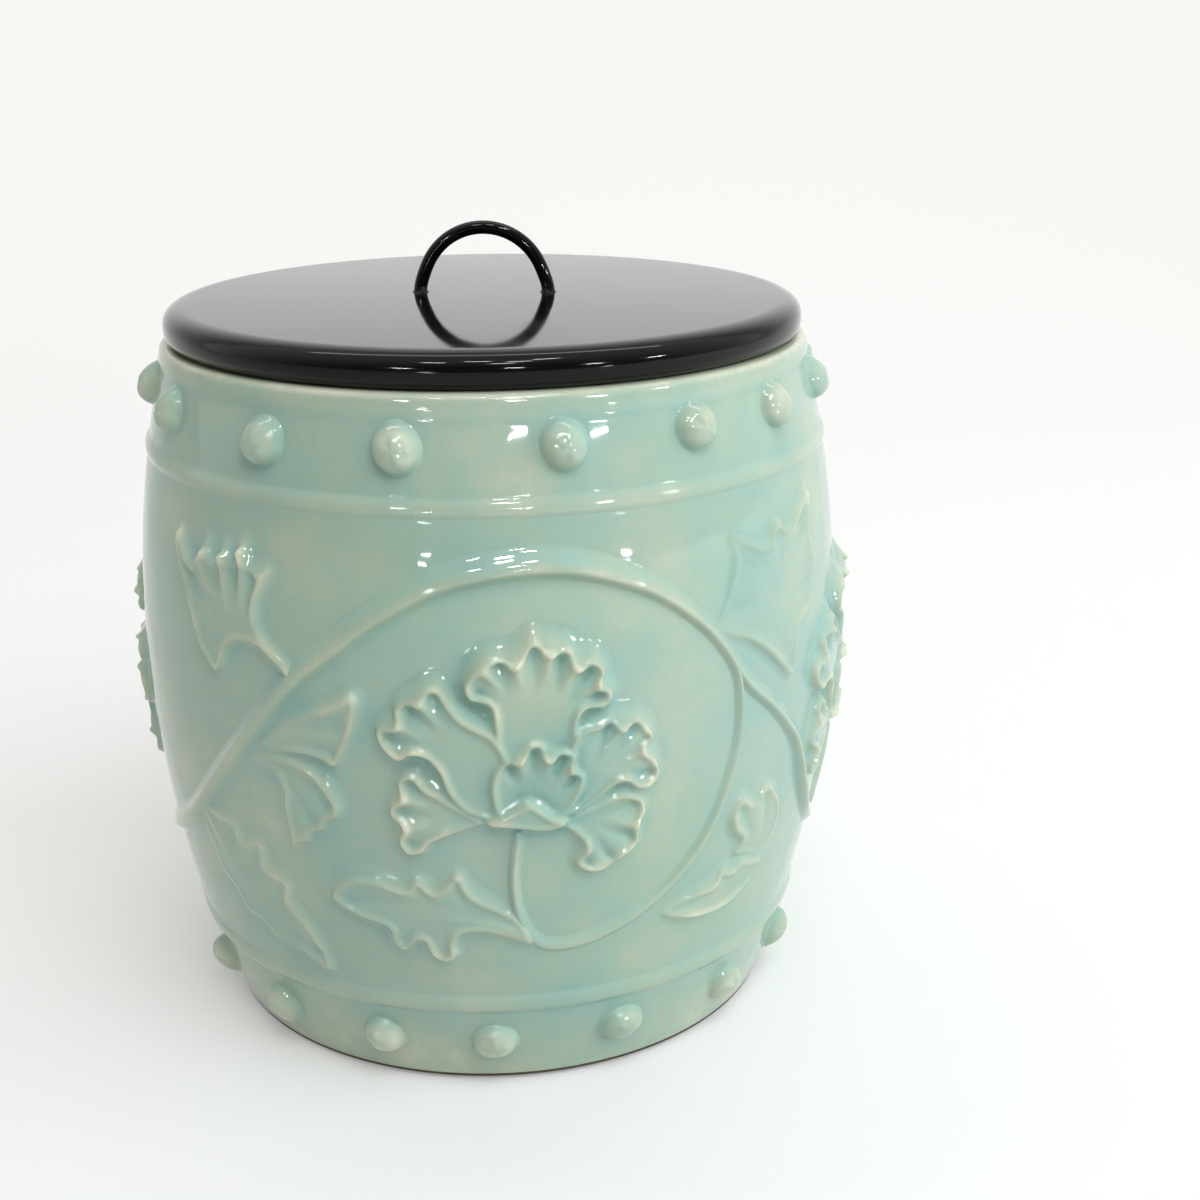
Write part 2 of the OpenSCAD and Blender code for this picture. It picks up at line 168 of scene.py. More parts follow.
def line_distance(places, line):
    """Shortest distance in mm from each place to a line, and the share of the line passed at the nearest
    point. On each stretch the nearest point is the place's shadow on it, kept between the two ends."""
    start, step = line[:-1], np.diff(line, axis=0)
    span = (step ** 2).sum(1) + 1e-12
    gap, share = np.empty(len(places)), np.empty(len(places))
    for slab in np.array_split(np.arange(len(places)), len(places) * len(step) // 2000000 + 1):
        offset = places[slab, None, :] - start
        along = np.clip((offset * step).sum(2) / span, 0, 1)
        gaps = np.hypot(offset[..., 0] - along * step[:, 0], offset[..., 1] - along * step[:, 1])
        nearest = gaps.argmin(1)[:, None]
        gap[slab] = np.take_along_axis(gaps, nearest, 1)[:, 0]
        share[slab] = (nearest + np.take_along_axis(along, nearest, 1))[:, 0] / len(step)
    return gap, share


def depth_inside(places, outline):
    """Distance in mm to a closed outline, positive inside it and negative outside."""
    first, second = outline, np.roll(outline, -1, 0)
    drop = second[:, 1] - first[:, 1]
    drop = np.where(np.abs(drop) < 1e-9, 1e-9, drop)
    side, height = places[:, :1], places[:, 1:]
    level_cross = (first[:, 1] > height) != (second[:, 1] > height)
    meets = first[:, 0] + (height - first[:, 1]) * (second[:, 0] - first[:, 0]) / drop
    inside = (level_cross & (side < meets)).sum(1) % 2 == 1
    gap = line_distance(places, np.vstack([outline, outline[:1]]))[0]
    return np.where(inside, gap, -gap)


print("depth at the middle of the cup in mm:",
      depth_inside(np.array([[5.5, 75.6]]), smooth_line(flower_cup, 6, True)).round(2))

# %% [markdown]
# ## Petals
# Each petal is a shallow dish with a thin rolled rim, pressed with a tool so that short furrows run in from
# its scallops. A dish like that is three simple curves on the distance inside the edge: a quarter-round at
# the edge, a slope down into the dish, and a lift from the root to the tip. Furrows are then taken away and
# veins added.

# %% Height of a petal or a leaf


def ease(x):
    """Smooth step: three x squared less two x cubed, with x kept between 0 and 1."""
    x = np.clip(x, 0, 1)
    return x * x * (3 - 2 * x)


def tool_marks(places, lines, width):
    """Highest of several marks, from 0 to 1: each is a bell curve of the distance to its line, whose width
    shrinks by half and whose strength fades along the line."""
    marks = np.zeros(len(places))
    for line in lines:
        gap, share = line_distance(places, smooth_line(line, 5, False))
        marks = np.maximum(marks, np.exp(-(gap / (width * (1 - 0.5 * share))) ** 2) * (1 - share) ** 1.2)
    return marks


# Shares that hold unless a petal or leaf names its own: how deep furrows cut, how high veins stand in the
# dish, and how much of the height is smeared up the wall above
usual_cut, usual_vein, usual_smear = 0.62, 0.9, 0.92


def sprig_height(places, sprig):
    """Height in mm over the wall, and depth inside the edge: lift times quarter-round times rim less dish,
    less the furrows, plus the veins. The quarter-round takes 1.1 mm from the edge, and the dish falls from
    0.35 to 2.15 mm inside it. Furrows are 1.35 mm wide and veins 1.15 mm. Lift eases from just over half at
    the root to one at 15 mm from it. Where a sprig fades, it also eases from a quarter at the first place
    named to one at the second."""
    depth = depth_inside(places, smooth_line(sprig["edge"], 8, True))
    lift = 0.58 + 0.42 * ease(np.hypot(*(places - sprig["root"]).T) / 15)
    if "fade" in sprig:
        low_place, high_place = np.array(sprig["fade"], dtype=float)
        way = high_place - low_place
        lift = lift * (0.25 + 0.75 * ease((places - low_place) @ way / (way @ way)))
    quarter_round = np.sqrt(1 - (1 - np.clip(depth / 1.1, 0, 1)) ** 2)
    dish = ease((depth - 0.35) / 1.8)
    height = lift * quarter_round * (sprig["rim"] - sprig["dish"] * dish)
    cut = sprig.get("cut", usual_cut) * tool_marks(places, sprig.get("furrows", []), 1.35) * ease(depth / 1.4)
    vein = sprig.get("vein", usual_vein) * sprig["dish"] * tool_marks(places, sprig.get("veins", []), 1.15)
    return np.where(depth > 0, height * (1 - cut) + lift * vein * quarter_round, 0), depth


front_petal = dict(rim=4.0, dish=1.5, root=(7, 76), edge=[
    (0, 76), (-1.6, 81), (-1.2, 86), (1.4, 89), (4.2, 89.8), (6.2, 92.6), (9.4, 92.8), (10.4, 89.8),
    (13.4, 91), (16.4, 89.6), (15.8, 86.6), (18, 84.4), (17.4, 80.4), (14, 75.6), (6, 74.6)],
    furrows=[[(2.4, 87.6), (4, 83)], [(7.8, 90.8), (7.4, 84.6)], [(13.2, 88.8), (11, 83.6)],
             [(16, 83.8), (12.4, 81)]],
    veins=[[(4.4, 89.2), (5.4, 85)], [(10.6, 89.2), (9.6, 84.6)], [(15.6, 86.6), (12, 83)]])
petal_heart = np.array([[9.5, 84.0]])
print("height at the heart of the front petal in mm:", sprig_height(petal_heart, front_petal)[0].round(2))

# %% [markdown]
# The other petals stand behind the front one. Their inner edges run on under it, so that no bare wall shows
# between them. Where two petals overlap, the one that comes later in the list covers the earlier one.

# %% The petals of one peony
back_petal = dict(rim=3.7, dish=1.7, root=(8, 88), edge=[
    (0, 90), (7, 88), (16.4, 90), (16.8, 96), (18.4, 99.2), (22.4, 99.4), (24.5, 102.4), (21.8, 104.6),
    (23, 107.6), (20, 110.6), (17, 109.4), (15.4, 113.4), (12, 113), (10.6, 113.2), (8, 115.4), (5.4, 113),
    (4, 110.8), (1, 112), (-3, 110.6), (-6.4, 106.6), (-5.4, 102.8), (-1.4, 101.4), (-0.6, 96)],
    furrows=[[(1, 110), (2.6, 103.5)], [(8, 113), (8, 103)], [(13.6, 111.2), (12, 103)],
             [(19.6, 107.4), (14, 102)], [(-3.4, 104), (0.6, 102.4)], [(21.6, 102), (16.6, 100)]],
    veins=[[(4.2, 110.6), (5.2, 104.6)], [(11.2, 112.4), (10.2, 105.4)], [(16.8, 109.2), (13, 103.8)],
           [(21.4, 104.6), (16, 102)], [(-1.8, 108.6), (1.4, 105)]])
left_petal = dict(rim=3.5, dish=1.5, root=(-1, 79), edge=[
    (4, 76), (4, 84), (2, 91), (-0.4, 95), (-3.6, 97), (-6.8, 99.2), (-9.2, 102.4), (-11.4, 105.2),
    (-14.4, 105.2), (-15.8, 102.8), (-18.4, 102.4), (-21, 100.4), (-20.8, 97.2), (-24.8, 95.6), (-24, 91.8),
    (-20.4, 88.6), (-17.2, 90.4), (-14.2, 89.2), (-12, 86.2), (-10.8, 82.2), (-8.8, 78.8), (-6, 76.4),
    (-2, 75)],
    furrows=[[(-12.6, 103.4), (-9.4, 96)], [(-18, 100.8), (-12, 94.6)], [(-22.4, 94), (-15, 91.6)]],
    veins=[[(-15.6, 102.4), (-11.4, 97)], [(-20.6, 97.2), (-15, 94)], [(-17.2, 91), (-13, 91.6)]])
low_left_petal = dict(rim=3.1, dish=1.4, root=(-4, 75), edge=[
    (-2.6, 74.2), (-6, 76.8), (-9, 79), (-12, 81.4), (-14.8, 82.8), (-16.4, 85.2), (-19, 85.6), (-21, 83.4),
    (-20.6, 80.2), (-22.8, 78), (-22.8, 75.2), (-20.4, 72.8), (-21.6, 69.4), (-19.8, 66.2), (-16.4, 66.8),
    (-14.5, 69.2), (-10, 71.4), (-6, 72.8)],
    furrows=[[(-18.6, 83.2), (-12, 78.4)], [(-21, 76.4), (-12.4, 75.8)], [(-19.2, 68.6), (-11.4, 72.8)]],
    veins=[[(-20.4, 80.2), (-14.6, 78)], [(-20.2, 72.8), (-14.4, 74)]])
right_petal = dict(rim=3.5, dish=1.5, root=(15, 79), edge=[
    (11, 75), (12, 84), (15, 92), (17.4, 95.2), (21, 96), (24, 97), (26, 94.8), (29.2, 96.2), (31.8, 93.8),
    (33.7, 90.8), (31.4, 88.4), (34, 85.6), (35.1, 82), (32.6, 79), (29.4, 79.2), (26.8, 81.6), (24, 80.2),
    (20.5, 77.2), (16, 75)],
    furrows=[[(23.6, 94.6), (19.4, 86)], [(29, 93.6), (21.6, 85.6)], [(31.8, 90.4), (23, 84.4)],
             [(33, 82.4), (24, 82.8)]],
    veins=[[(26, 94.4), (21.8, 88)], [(31.2, 88.4), (25, 85.4)], [(27, 82), (23, 83)]])
low_right_petal = dict(rim=3.1, dish=1.4, root=(15, 74), edge=[
    (12.6, 73), (17, 75.4), (21.4, 77.2), (25.4, 78.6), (28.6, 78.4), (31.2, 76.4), (32.2, 73.6), (31, 71),
    (30.4, 69), (31, 66.6), (29, 63.9), (25, 61.7), (22, 60.1), (18.6, 60.5), (16.4, 63.2), (18.2, 65.6),
    (17.6, 68.3), (15, 71)],
    furrows=[[(29.6, 75), (20.6, 73.6)], [(29, 67.6), (20.6, 71.6)], [(24, 63.4), (20, 70.4)],
             [(18.8, 62.4), (19, 68.6)]],
    veins=[[(30.6, 70), (24.4, 72)], [(18.4, 65.8), (18.8, 70)]])
cup = dict(rim=4.4, dish=1.0, root=(5.5, 66), edge=flower_cup)
peony = [back_petal, left_petal, right_petal, low_left_petal, low_right_petal, front_petal, cup]
print("petals:", len(peony) - 1, "furrows:", sum(len(p.get("furrows", [])) for p in peony))

# %% [markdown]
# ## Leaves
# The leaves are lower and thinner than the petals and cut into pointed lobes. They are the same kind of
# shape: a rim, a dish, furrows up the lobes, and a raised vein here and there where the clay was pinched.

# %% The leaves on the left of the flower
leaf_sizes = dict(rim=2.5, dish=1.2, cut=0.5)
upper_fork = dict(leaf_sizes, root=(-57, 86), fade=((-50, 97), (-42, 90)), edge=[
    (-58, 85.4), (-51, 90.8), (-45, 94.4), (-40, 97.4), (-35, 99.6), (-30.4, 102.8), (-29, 100.4),
    (-29.8, 96.2), (-31, 92.4), (-32.8, 88.8), (-35, 85.4), (-38, 86.8), (-43, 87.2), (-50, 86.4)],
    furrows=[[(-33.6, 95.6), (-40, 95), (-48, 91.6)], [(-35.6, 88.6), (-42, 89.4), (-49, 87.8)]],
    veins=[[(-58, 85.4), (-50, 89), (-45, 91.2), (-36, 94.6)]])
lower_fork = dict(leaf_sizes, root=(-57, 83), fade=((-55, 70), (-45, 74)), edge=[
    (-59, 82.6), (-55, 85), (-50, 86), (-45.4, 85.8), (-40.6, 84), (-37, 80.6), (-34.6, 76), (-35.4, 73),
    (-38, 71.8), (-39.4, 69.4), (-42, 68.4), (-43.6, 65.6), (-46.4, 64.4), (-48.8, 62.4), (-48.6, 67),
    (-49, 72), (-48.6, 77), (-49.8, 80.8), (-53, 82.4)],
    furrows=[[(-38, 76), (-41, 80.2), (-48, 82.6)], [(-42, 71), (-44.6, 76), (-49, 81)]])
bottom_leaf = dict(leaf_sizes, root=(3, 47.5), edge=[
    (6.4, 45.4), (3.6, 49.6), (-0.4, 52.6), (-4.4, 55), (-7.2, 57.8), (-9.4, 61.6), (-12, 58.6),
    (-14.8, 57), (-18.4, 59.6), (-21, 57), (-27, 58.6), (-33.4, 58.4), (-37.6, 55.6), (-39, 52),
    (-33, 48.4), (-26, 46.2), (-25.4, 42.4), (-22.5, 40.2), (-19.4, 43.4), (-17.6, 43), (-16.2, 39.3),
    (-13, 37.8), (-10.4, 39.8), (-10.8, 42.8), (-9, 45.6), (-4, 46), (2, 44), (7, 42)],
    furrows=[[(-35, 52.6), (-27, 53), (-16, 53.4), (-8, 51.6)], [(-9.8, 59), (-8, 53)],
             [(-18.4, 57.4), (-15, 53)], [(-13.4, 40), (-12, 47)], [(-22.6, 42.6), (-20, 48)]],
    veins=[[(5, 45), (-2, 48), (-10, 49.4), (-22, 49.6)]])
hanging_leaf = dict(rim=2.5, dish=1.2, cut=0.75, vein=1.5, smear=0.8, root=(-47, 106), edge=[
    (-44.6, 104), (-49, 107.4), (-53, 109.8), (-58, 110.2), (-61, 108.8), (-62.8, 106.2), (-64.2, 103),
    (-66, 101.6), (-68.4, 103.6), (-71, 106), (-72.8, 109.4), (-74.6, 113.6), (-77, 118.4), (-79.4, 123),
    (-81.4, 128), (-80, 131), (-77.4, 127), (-74.8, 123.6), (-73, 126), (-70.4, 128.6), (-67.6, 128),
    (-66, 125.6), (-64.2, 128.2), (-62, 129.2), (-60.4, 126.8), (-58.8, 130.2), (-56.6, 130.6),
    (-55.2, 127), (-52.6, 126.4), (-49.6, 127.4), (-51.4, 123.4), (-53, 119.6), (-53.2, 115.6),
    (-51.4, 112.4), (-48.4, 109.6), (-44.4, 106.8)],
    furrows=[[(-75.8, 122), (-71, 118.8), (-66, 117), (-57, 114.4)], [(-75, 119), (-69, 116.6), (-60, 114)],
             [(-65.8, 126.4), (-64.6, 116)], [(-60, 127.4), (-60, 115.6)], [(-54.6, 126.6), (-56.4, 116)]],
    veins=[[(-45, 105), (-51, 110.4), (-57, 113)],
           [(-68.4, 128), (-70.4, 124.6), (-67.6, 120.8), (-60, 116)],
           [(-63, 128.4), (-62.6, 122), (-61.6, 113.6)], [(-57, 130), (-57.2, 124), (-58, 114)]])
print("leaf heights at two places in mm:",
      sprig_height(np.array([[-45.0, 91.0], [-40.0, 95.0]]), upper_fork)[0].round(2))

# %% The leaves on the right of the flower, and the long one at the lower left
broad_leaf = dict(rim=2.0, dish=0.9, cut=0.4, root=(53, 110), fade=((51, 121), (66, 115)), edge=[
    (50, 111.2), (54, 108.8), (60, 106.5), (66, 102.2), (71, 97.6), (76, 93.8), (78.5, 99), (79.4, 105),
    (84.6, 108), (86, 112.4), (88.6, 115.6), (88, 121), (86.6, 126), (88.6, 134.6), (82, 131.4), (77, 128),
    (72.4, 130.4), (67.6, 126.4), (62, 128.6), (56, 131), (57, 125.6), (55, 119.6), (52.4, 114.4)],
    furrows=[[(55, 114.6), (60, 114.4), (66, 114.2)], [(60.6, 126), (66, 122), (70, 117)],
             [(72, 127.8), (72.4, 121), (68, 114)], [(86, 130), (79, 123), (70, 115)],
             [(85.6, 114), (78, 113), (69, 111)], [(75.6, 97), (71, 104), (64, 109)]],
    veins=[[(50, 111), (57, 110.6), (66, 111.2)]])
pointed_fork = dict(leaf_sizes, root=(70, 47), fade=((44, 49.5), (50, 42)), edge=[
    (39, 43.8), (46, 46.8), (53, 48), (55.6, 50.6), (58.6, 49.6), (62, 51), (67.5, 49.4), (71.6, 48),
    (69, 44), (64, 41.6), (57, 40), (48, 40.4)],
    furrows=[[(43, 44.4), (52, 44.8), (64, 46)], [(56, 49), (60, 46.6)]])
lobed_fork = dict(rim=2.1, dish=0.8, cut=0.5, root=(72, 49), fade=((68, 47), (64, 60)), edge=[
    (63.4, 52.2), (59.8, 53.4), (61, 57), (58, 60.4), (57, 65), (60, 68.2), (64.6, 65.6), (68, 68.6),
    (72, 66.6), (75, 62), (76.6, 56), (73.6, 49), (68.5, 49.6)],
    furrows=[[(59.6, 65.6), (64, 58.6), (69, 52.6)], [(68.6, 66), (69.6, 59), (71, 52)],
             [(61.6, 54.2), (68, 52)]])
trailing_leaf = dict(rim=1.9, dish=0.9, cut=0.5, root=(-77, 63), fade=((-76, 42), (-66, 52)), edge=[
    (-79.6, 66), (-73, 65.6), (-67, 65), (-64, 61), (-58, 61.4), (-57.4, 56), (-51.6, 52.6), (-52, 47.6),
    (-46.5, 40.6), (-43.4, 30.4), (-52, 34), (-60, 35.6), (-64, 39.6), (-69, 39.4), (-71.6, 45),
    (-77, 48.6), (-78.4, 55), (-81, 61)],
    furrows=[[(-66.4, 63.4), (-70, 56), (-75, 60)], [(-59, 59.8), (-64, 51), (-70, 54)],
             [(-53.4, 51.6), (-58, 45), (-64, 49)], [(-46, 35), (-54, 40), (-62, 46)]],
    veins=[[(-79, 65), (-72, 56.6), (-66, 50)]])
leaves = [upper_fork, lower_fork, bottom_leaf, hanging_leaf,
          broad_leaf, pointed_fork, lobed_fork, trailing_leaf]
leaf_furrows = sum(len(leaf["furrows"]) for leaf in leaves)
print("leaves round each framed flower:", len(leaves), "furrows:", leaf_furrows)

# %% [markdown]
# ## From a height to a closed piece
# A patch of relief is a grid of places on the wall, each lifted by its height. The glaze has run over every
# edge and rounded it, so the heights are first smoothed with a bell curve, done quickly with a Fourier
# transform. Cells with no height are dropped, and what is left is closed with a back just under the glaze
# of the wall.

# %% Smooth a grid of heights


def softened(grid, spread):
    """Convolves a grid with a bell curve whose spread is given in cells, by multiplying the grid's Fourier
    transform with a bell curve of the frequency. The grid is taken to repeat at its ends."""
    rows = np.fft.fftfreq(grid.shape[0])[:, None] * spread
    columns = np.fft.rfftfreq(grid.shape[1])[None, :] * spread
    bell = np.exp(-2 * (math.pi ** 2) * (rows ** 2 + columns ** 2))
    return np.fft.irfft2(np.fft.rfft2(grid) * bell, s=grid.shape)


def smeared_up(height, up_wall, pitch, share):
    """The clay smeared onto the wall above a ridge: the running maximum, from the foot up, of a share of
    the height plus a slope of 0.75 mm to the mm, less that slope, smoothed over 1.1 mm so that it meets the
    wall without an edge."""
    slope = 0.75 * up_wall[:, None]
    mound = np.maximum.accumulate(share * height + slope, axis=0) - slope
    return softened(np.maximum(mound, 0), 1.1 / pitch)


def relief_grid(sprigs, pitch, soften):
    """Grid of heights in mm that holds all the sprigs. Round a sprig's edge the highest counts of the
    sprig, the clay smeared up above it and what is there already. From 0.9 mm inside the edge the later
    sprig covers what lies under it. The glaze then smooths all of it."""
    corners = np.vstack([sprig["edge"] for sprig in sprigs])
    margin = 10
    low, high = corners.min(0) - margin, corners.max(0) + margin
    along, up_wall = np.arange(low[0], high[0], pitch), np.arange(low[1], high[1], pitch)
    rise = np.zeros((len(up_wall), len(along)))
    for sprig in sprigs:
        edge = np.array(sprig["edge"])
        columns = slice(*np.searchsorted(along, [edge[:, 0].min() - margin, edge[:, 0].max() + margin]))
        rows = slice(*np.searchsorted(up_wall, [edge[:, 1].min() - margin, edge[:, 1].max() + margin]))
        across, upward = np.meshgrid(along[columns], up_wall[rows])
        places = np.stack([across.ravel(), upward.ravel()], axis=1)
        height, depth = (a.reshape(across.shape) for a in sprig_height(places, sprig))
        mound = smeared_up(height, up_wall[rows], pitch, sprig.get("smear", usual_smear))
        around = np.maximum(np.maximum(rise[rows, columns], height), mound)
        rise[rows, columns] = np.where(depth > 0.9, height, around)
    return along, up_wall, softened(rise, soften / pitch)


peony_grid = relief_grid(peony, 0.32, 0.38)
leaf_grid = relief_grid(leaves, 0.42, 0.42)
print("peony grid:", peony_grid[2].shape, "highest in mm:", peony_grid[2].max().round(2))
print("leaf grid:", leaf_grid[2].shape, "highest in mm:", leaf_grid[2].max().round(2))

# %% Faces of grids and closed patches


def grid_faces(rows, columns, wrap):
    """Four corners of each cell of a grid numbered row by row, the other way to a clock seen from outside.
    With wrap, the last column joins the first."""
    row, column = np.meshgrid(np.arange(rows - 1), np.arange(columns if wrap else columns - 1), indexing="ij")
    ahead_column = (column + 1) % columns
    corners = [row * columns + column, row * columns + ahead_column,
               (row + 1) * columns + ahead_column, (row + 1) * columns + column]
    return np.stack(corners, axis=-1).reshape(-1, 4)


def closed_patch(front, back, faces):
    """A sheet of faces, a second sheet behind it the other way round, and a wall along the free edges. An
    edge is free where no face uses it in the other direction."""
    used, faces = np.unique(faces, return_inverse=True)
    faces = faces.reshape(-1, 4)
    count = len(used)
    start, end = faces.ravel(), np.roll(faces, -1, 1).ravel()
    free = ~np.isin(end * count + start, start * count + end)
    start, end = start[free], end[free]
    side = np.stack([end, start, start + count, end + count], axis=1)
    return np.vstack([front[used], back[used]]), np.vstack([faces, faces[:, ::-1] + count, side])


# How far a thin edge dives into the wall, how far the back of a piece lies under it, and the least rise
# that is kept
edge_sink, back_depth, least_rise = 0.06, 0.7, 0.004


def relief_patch(grid, shift_along, shift_up):
    """Closed patch of a grid of heights, moved along the wall and up it: the front at the height less the
    sink of its edge, and the back at its depth under the wall."""
    along, up_wall, rise = grid
    across, upward = np.meshgrid(along + shift_along, up_wall + shift_up)
    front = on_wall(across, upward, rise - edge_sink).reshape(-1, 3)
    back = on_wall(across, upward, rise * 0 - back_depth).reshape(-1, 3)
    faces = grid_faces(*rise.shape, False)
    return closed_patch(front, back, faces[rise.ravel()[faces].max(1) > least_rise])


print("faces of one peony:", len(relief_patch(peony_grid, 0, 0)[1]))

# %% [markdown]
# ## The stem
# One long stem leaves the ring round a framed flower, dips under a side flower, rises over the next framed
# flower, circles it and comes up under its cup. A curve object with a bevel could follow the route, but it
# would not bend round the jar, so a low ridge is swept along the drawn route and then wrapped onto the wall
# with the rest. It is full where it climbs, and thinner in its first branch and past the top of the ring.

# %% Sweep the stem
stem_route = [(54.8 - half_turn, 104), (57.9 - half_turn, 99.2), (-205, 94.5), (-197, 87.5), (-187, 77),
              (-183, 70), (-179, 62), (-173, 54), (-165, 47.5), (-155, 43), (-144, 41), (-131, 41.5),
              (-118, 44.5), (-106, 49), (-95, 54), (-85, 60), (-78, 66), (-66, 78.5), (-58, 87.5),
              (-45, 102.5), (-35, 111), (-25, 119), (-10, 127), (8, 130), (22, 128), (35, 122.5), (45, 115),
              (52, 107.5), (56.5, 100), (57.8, 90), (56.5, 79), (52, 66.5), (45, 56), (35, 47.5),
              (23, 41.8), (13, 40.4), (7.4, 43), (4, 50), (3, 58), (3.4, 65), (4.4, 72.2)]
side_flower_shift, side_flower_drop = 112.0, 4.0
side_stem_route = [(side_flower_shift + 2, 43.6), (side_flower_shift + 2.5, 52),
                   (side_flower_shift + 3.5, 60), (side_flower_shift + 4.4, 72.2 - side_flower_drop)]
# Rise and reach of the ridge, and half the width of the strip that carries it, in mm
stem_rise, stem_reach, strip_half = 2.4, 2.8, 3.1
strip_points = 23


def stem_profile(across):
    """Rise in mm across the stem: the rise times the squared cosine of a quarter turn over the stem's
    reach."""
    return stem_rise * np.cos(np.clip(across / stem_reach, -1, 1) * math.pi / 2) ** 2


def long_stem_fullness(share):
    """Width and rise of the long stem along its way, as a share of the full ones: 0.62 where it starts as a
    branch, eased to one over the next tenth, and eased back to 0.62 past the middle, where the roll of clay
    runs out."""
    return 0.62 + 0.38 * (ease((share - 0.06) / 0.1) - ease((share - 0.57) / 0.1))


def side_stem_fullness(share):
    """The short stem is 0.8 of the full one all along."""
    return 0.8 + 0 * share


def stem_tube(route, steps, fullness):
    """Profile carried along a route: the top follows the stem's profile, times the fullness at that share
    of the way, and is widened by up to nine tenths on the side that looks up, where the clay was smeared.
    It lies flatter in the low bends: six tenths of the rise at 44 mm, and all of it from 62 mm up. The
    underside lies under the wall, both ends thin out over 3 mm, and one face closes each."""
    line = smooth_line(route, steps, False)
    pace = np.gradient(line, axis=0)
    side = np.stack([-pace[:, 1], pace[:, 0]], axis=1) / np.hypot(*pace.T)[:, None]
    passed = np.concatenate([[0], np.cumsum(np.hypot(*np.diff(line, axis=0).T))])
    ends = np.sqrt(1 - (1 - np.clip(np.minimum(passed, passed[-1] - passed) / 3, 0, 1)) ** 2)
    across = np.concatenate([np.linspace(strip_half, -strip_half, strip_points), [-strip_half, strip_half]])
    rise = np.concatenate([stem_profile(across[:strip_points]) - edge_sink, [-back_depth, -back_depth]])
    smear = 1 + 0.9 * np.clip(side[:, 1:] * np.sign(across), 0, 1)
    full = fullness(np.linspace(0, 1, len(line)))
    places = line[:, None, :] + side[:, None, :] * (across * smear * full[:, None])[..., None]
    stand = full * ends * (0.6 + 0.4 * ease((line[:, 1] - 44) / 18))
    heights = np.where(rise > 0, rise * stand[:, None], rise)
    points = on_wall(places[..., 0], places[..., 1], heights).reshape(-1, 3)
    count = len(across)
    last = (len(line) - 1) * count
    end_faces = [list(range(count))[::-1], list(range(last, last + count))]
    return points, grid_faces(len(line), count, True).tolist() + end_faces


stem_points, stem_faces = stem_tube(stem_route, 10, long_stem_fullness)
print("points on the long stem:", len(stem_points), "faces:", len(stem_faces))

# %% [markdown]
# ## How the glaze pools
# A celadon glaze is nearly clear, with a little iron in it, so its colour depends on how thick it lies. On
# every ridge it runs thin and turns pale, and in every hollow it pools and turns blue-green. To find where
# it pools, the relief is drawn once more on a coarse map of half the jar, and a strongly smoothed copy is
# taken from a lightly smoothed one: what stands proud of its neighbourhood is a ridge, and what lies under
# it is a hollow.

# %% Map of the relief over half a turn
map_step = 0.45
map_columns = round(half_turn / map_step)
map_low = -4.0
map_along = np.arange(map_columns) * half_turn / map_columns
map_up = np.arange(map_low, body_height + 6, map_step)
relief_map = np.zeros((len(map_up), map_columns))


def lay_on_map(grid, shift_along, shift_up):
    """Raises the map to a grid's heights, moved along the wall and up it. Columns wrap round at half a
    turn."""
    along, up_wall, rise = grid
    columns = np.round((along + shift_along) / half_turn * map_columns).astype(int) % map_columns
    rows = np.round((up_wall + shift_up - map_low) / map_step).astype(int)
    np.maximum.at(relief_map, (rows[:, None], columns[None, :]), rise)


lay_on_map(peony_grid, 0, 0)
lay_on_map(peony_grid, side_flower_shift, -side_flower_drop)
lay_on_map(leaf_grid, 0, 0)
map_places = np.stack([a.ravel() for a in np.meshgrid(map_along, map_up)], axis=1)
# Stems and studs are steep and smooth, so only half their rise counts for the glaze
counted_share = 0.5
for route, fullness in ((stem_route, long_stem_fullness), (side_stem_route, side_stem_fullness)):
    line = smooth_line(route, 4, False)
    for turns in (-1, 0, 1):
        gap, share = line_distance(map_places + (turns * half_turn, 0), line)
        full = fullness(share)
        ridge = counted_share * full * stem_profile(gap / full)
        np.maximum(relief_map, ridge.reshape(relief_map.shape), out=relief_map)
print("share of the map under relief:", (relief_map > 0.3).mean().round(3))

# %% [markdown]
# The two turned cords, the lip and the studs stand on the same map. The studs are domes of clay pressed on
# by hand, sixteen to a row, so each one sits a little off the even row and has a size of its own.

# %% Cords, lip and studs on the map
# The cords and the lip: height of the middle, reach above it and below it, and swell, in mm
upper_cord = (body_height - 22.9, 2.2, 2.0, 0.7)
lower_cord = (23.6, 3.6, 1.6, 0.8)
lip = (body_height - 2.3, 2.3, 2.3, 0.8)
# The studs: how many in a row, radius and rise of the dome, and radius of the patch that carries it
stud_count, stud_radius, stud_rise, stud_patch = 16, 5.2, 4.3, 7.0
upper_stud_height, lower_stud_height = body_height - 10.8, 13.8
upper_stud_turn, lower_stud_turn = 9.2, 0.8
dome_radius = (stud_radius ** 2 + stud_rise ** 2) / (2 * stud_rise)


def bead(height, middle, above, below, swell):
    """Rise in mm of a turned bead: the swell times one less the squared distance from its middle over its
    reach, which differs above and below, rounded where it meets the wall by adding a small bell curve."""
    away = np.where(height > middle, (height - middle) / above, (middle - height) / below)
    return swell * (0.85 * np.clip(1 - away ** 2, 0, 1) + 0.15 * np.exp(-(away * 0.9) ** 4))


def stud_dome(away):
    """Rise in mm of a stud: a ball of the dome's radius, sunk so that it stands out by the rise, with a
    slope of 1.3 mm to the mm past its edge. A soft maximum joins it to the wall: the fillet times the
    logarithm of one plus the exponential of the ball over the fillet."""
    fillet = 0.45
    ball = np.sqrt(np.clip(dome_radius ** 2 - away ** 2, 0, None)) - (dome_radius - stud_rise)
    ball = ball - 1.3 * np.clip(away - dome_radius, 0, None)
    return fillet * np.logaddexp(0, ball / fillet)


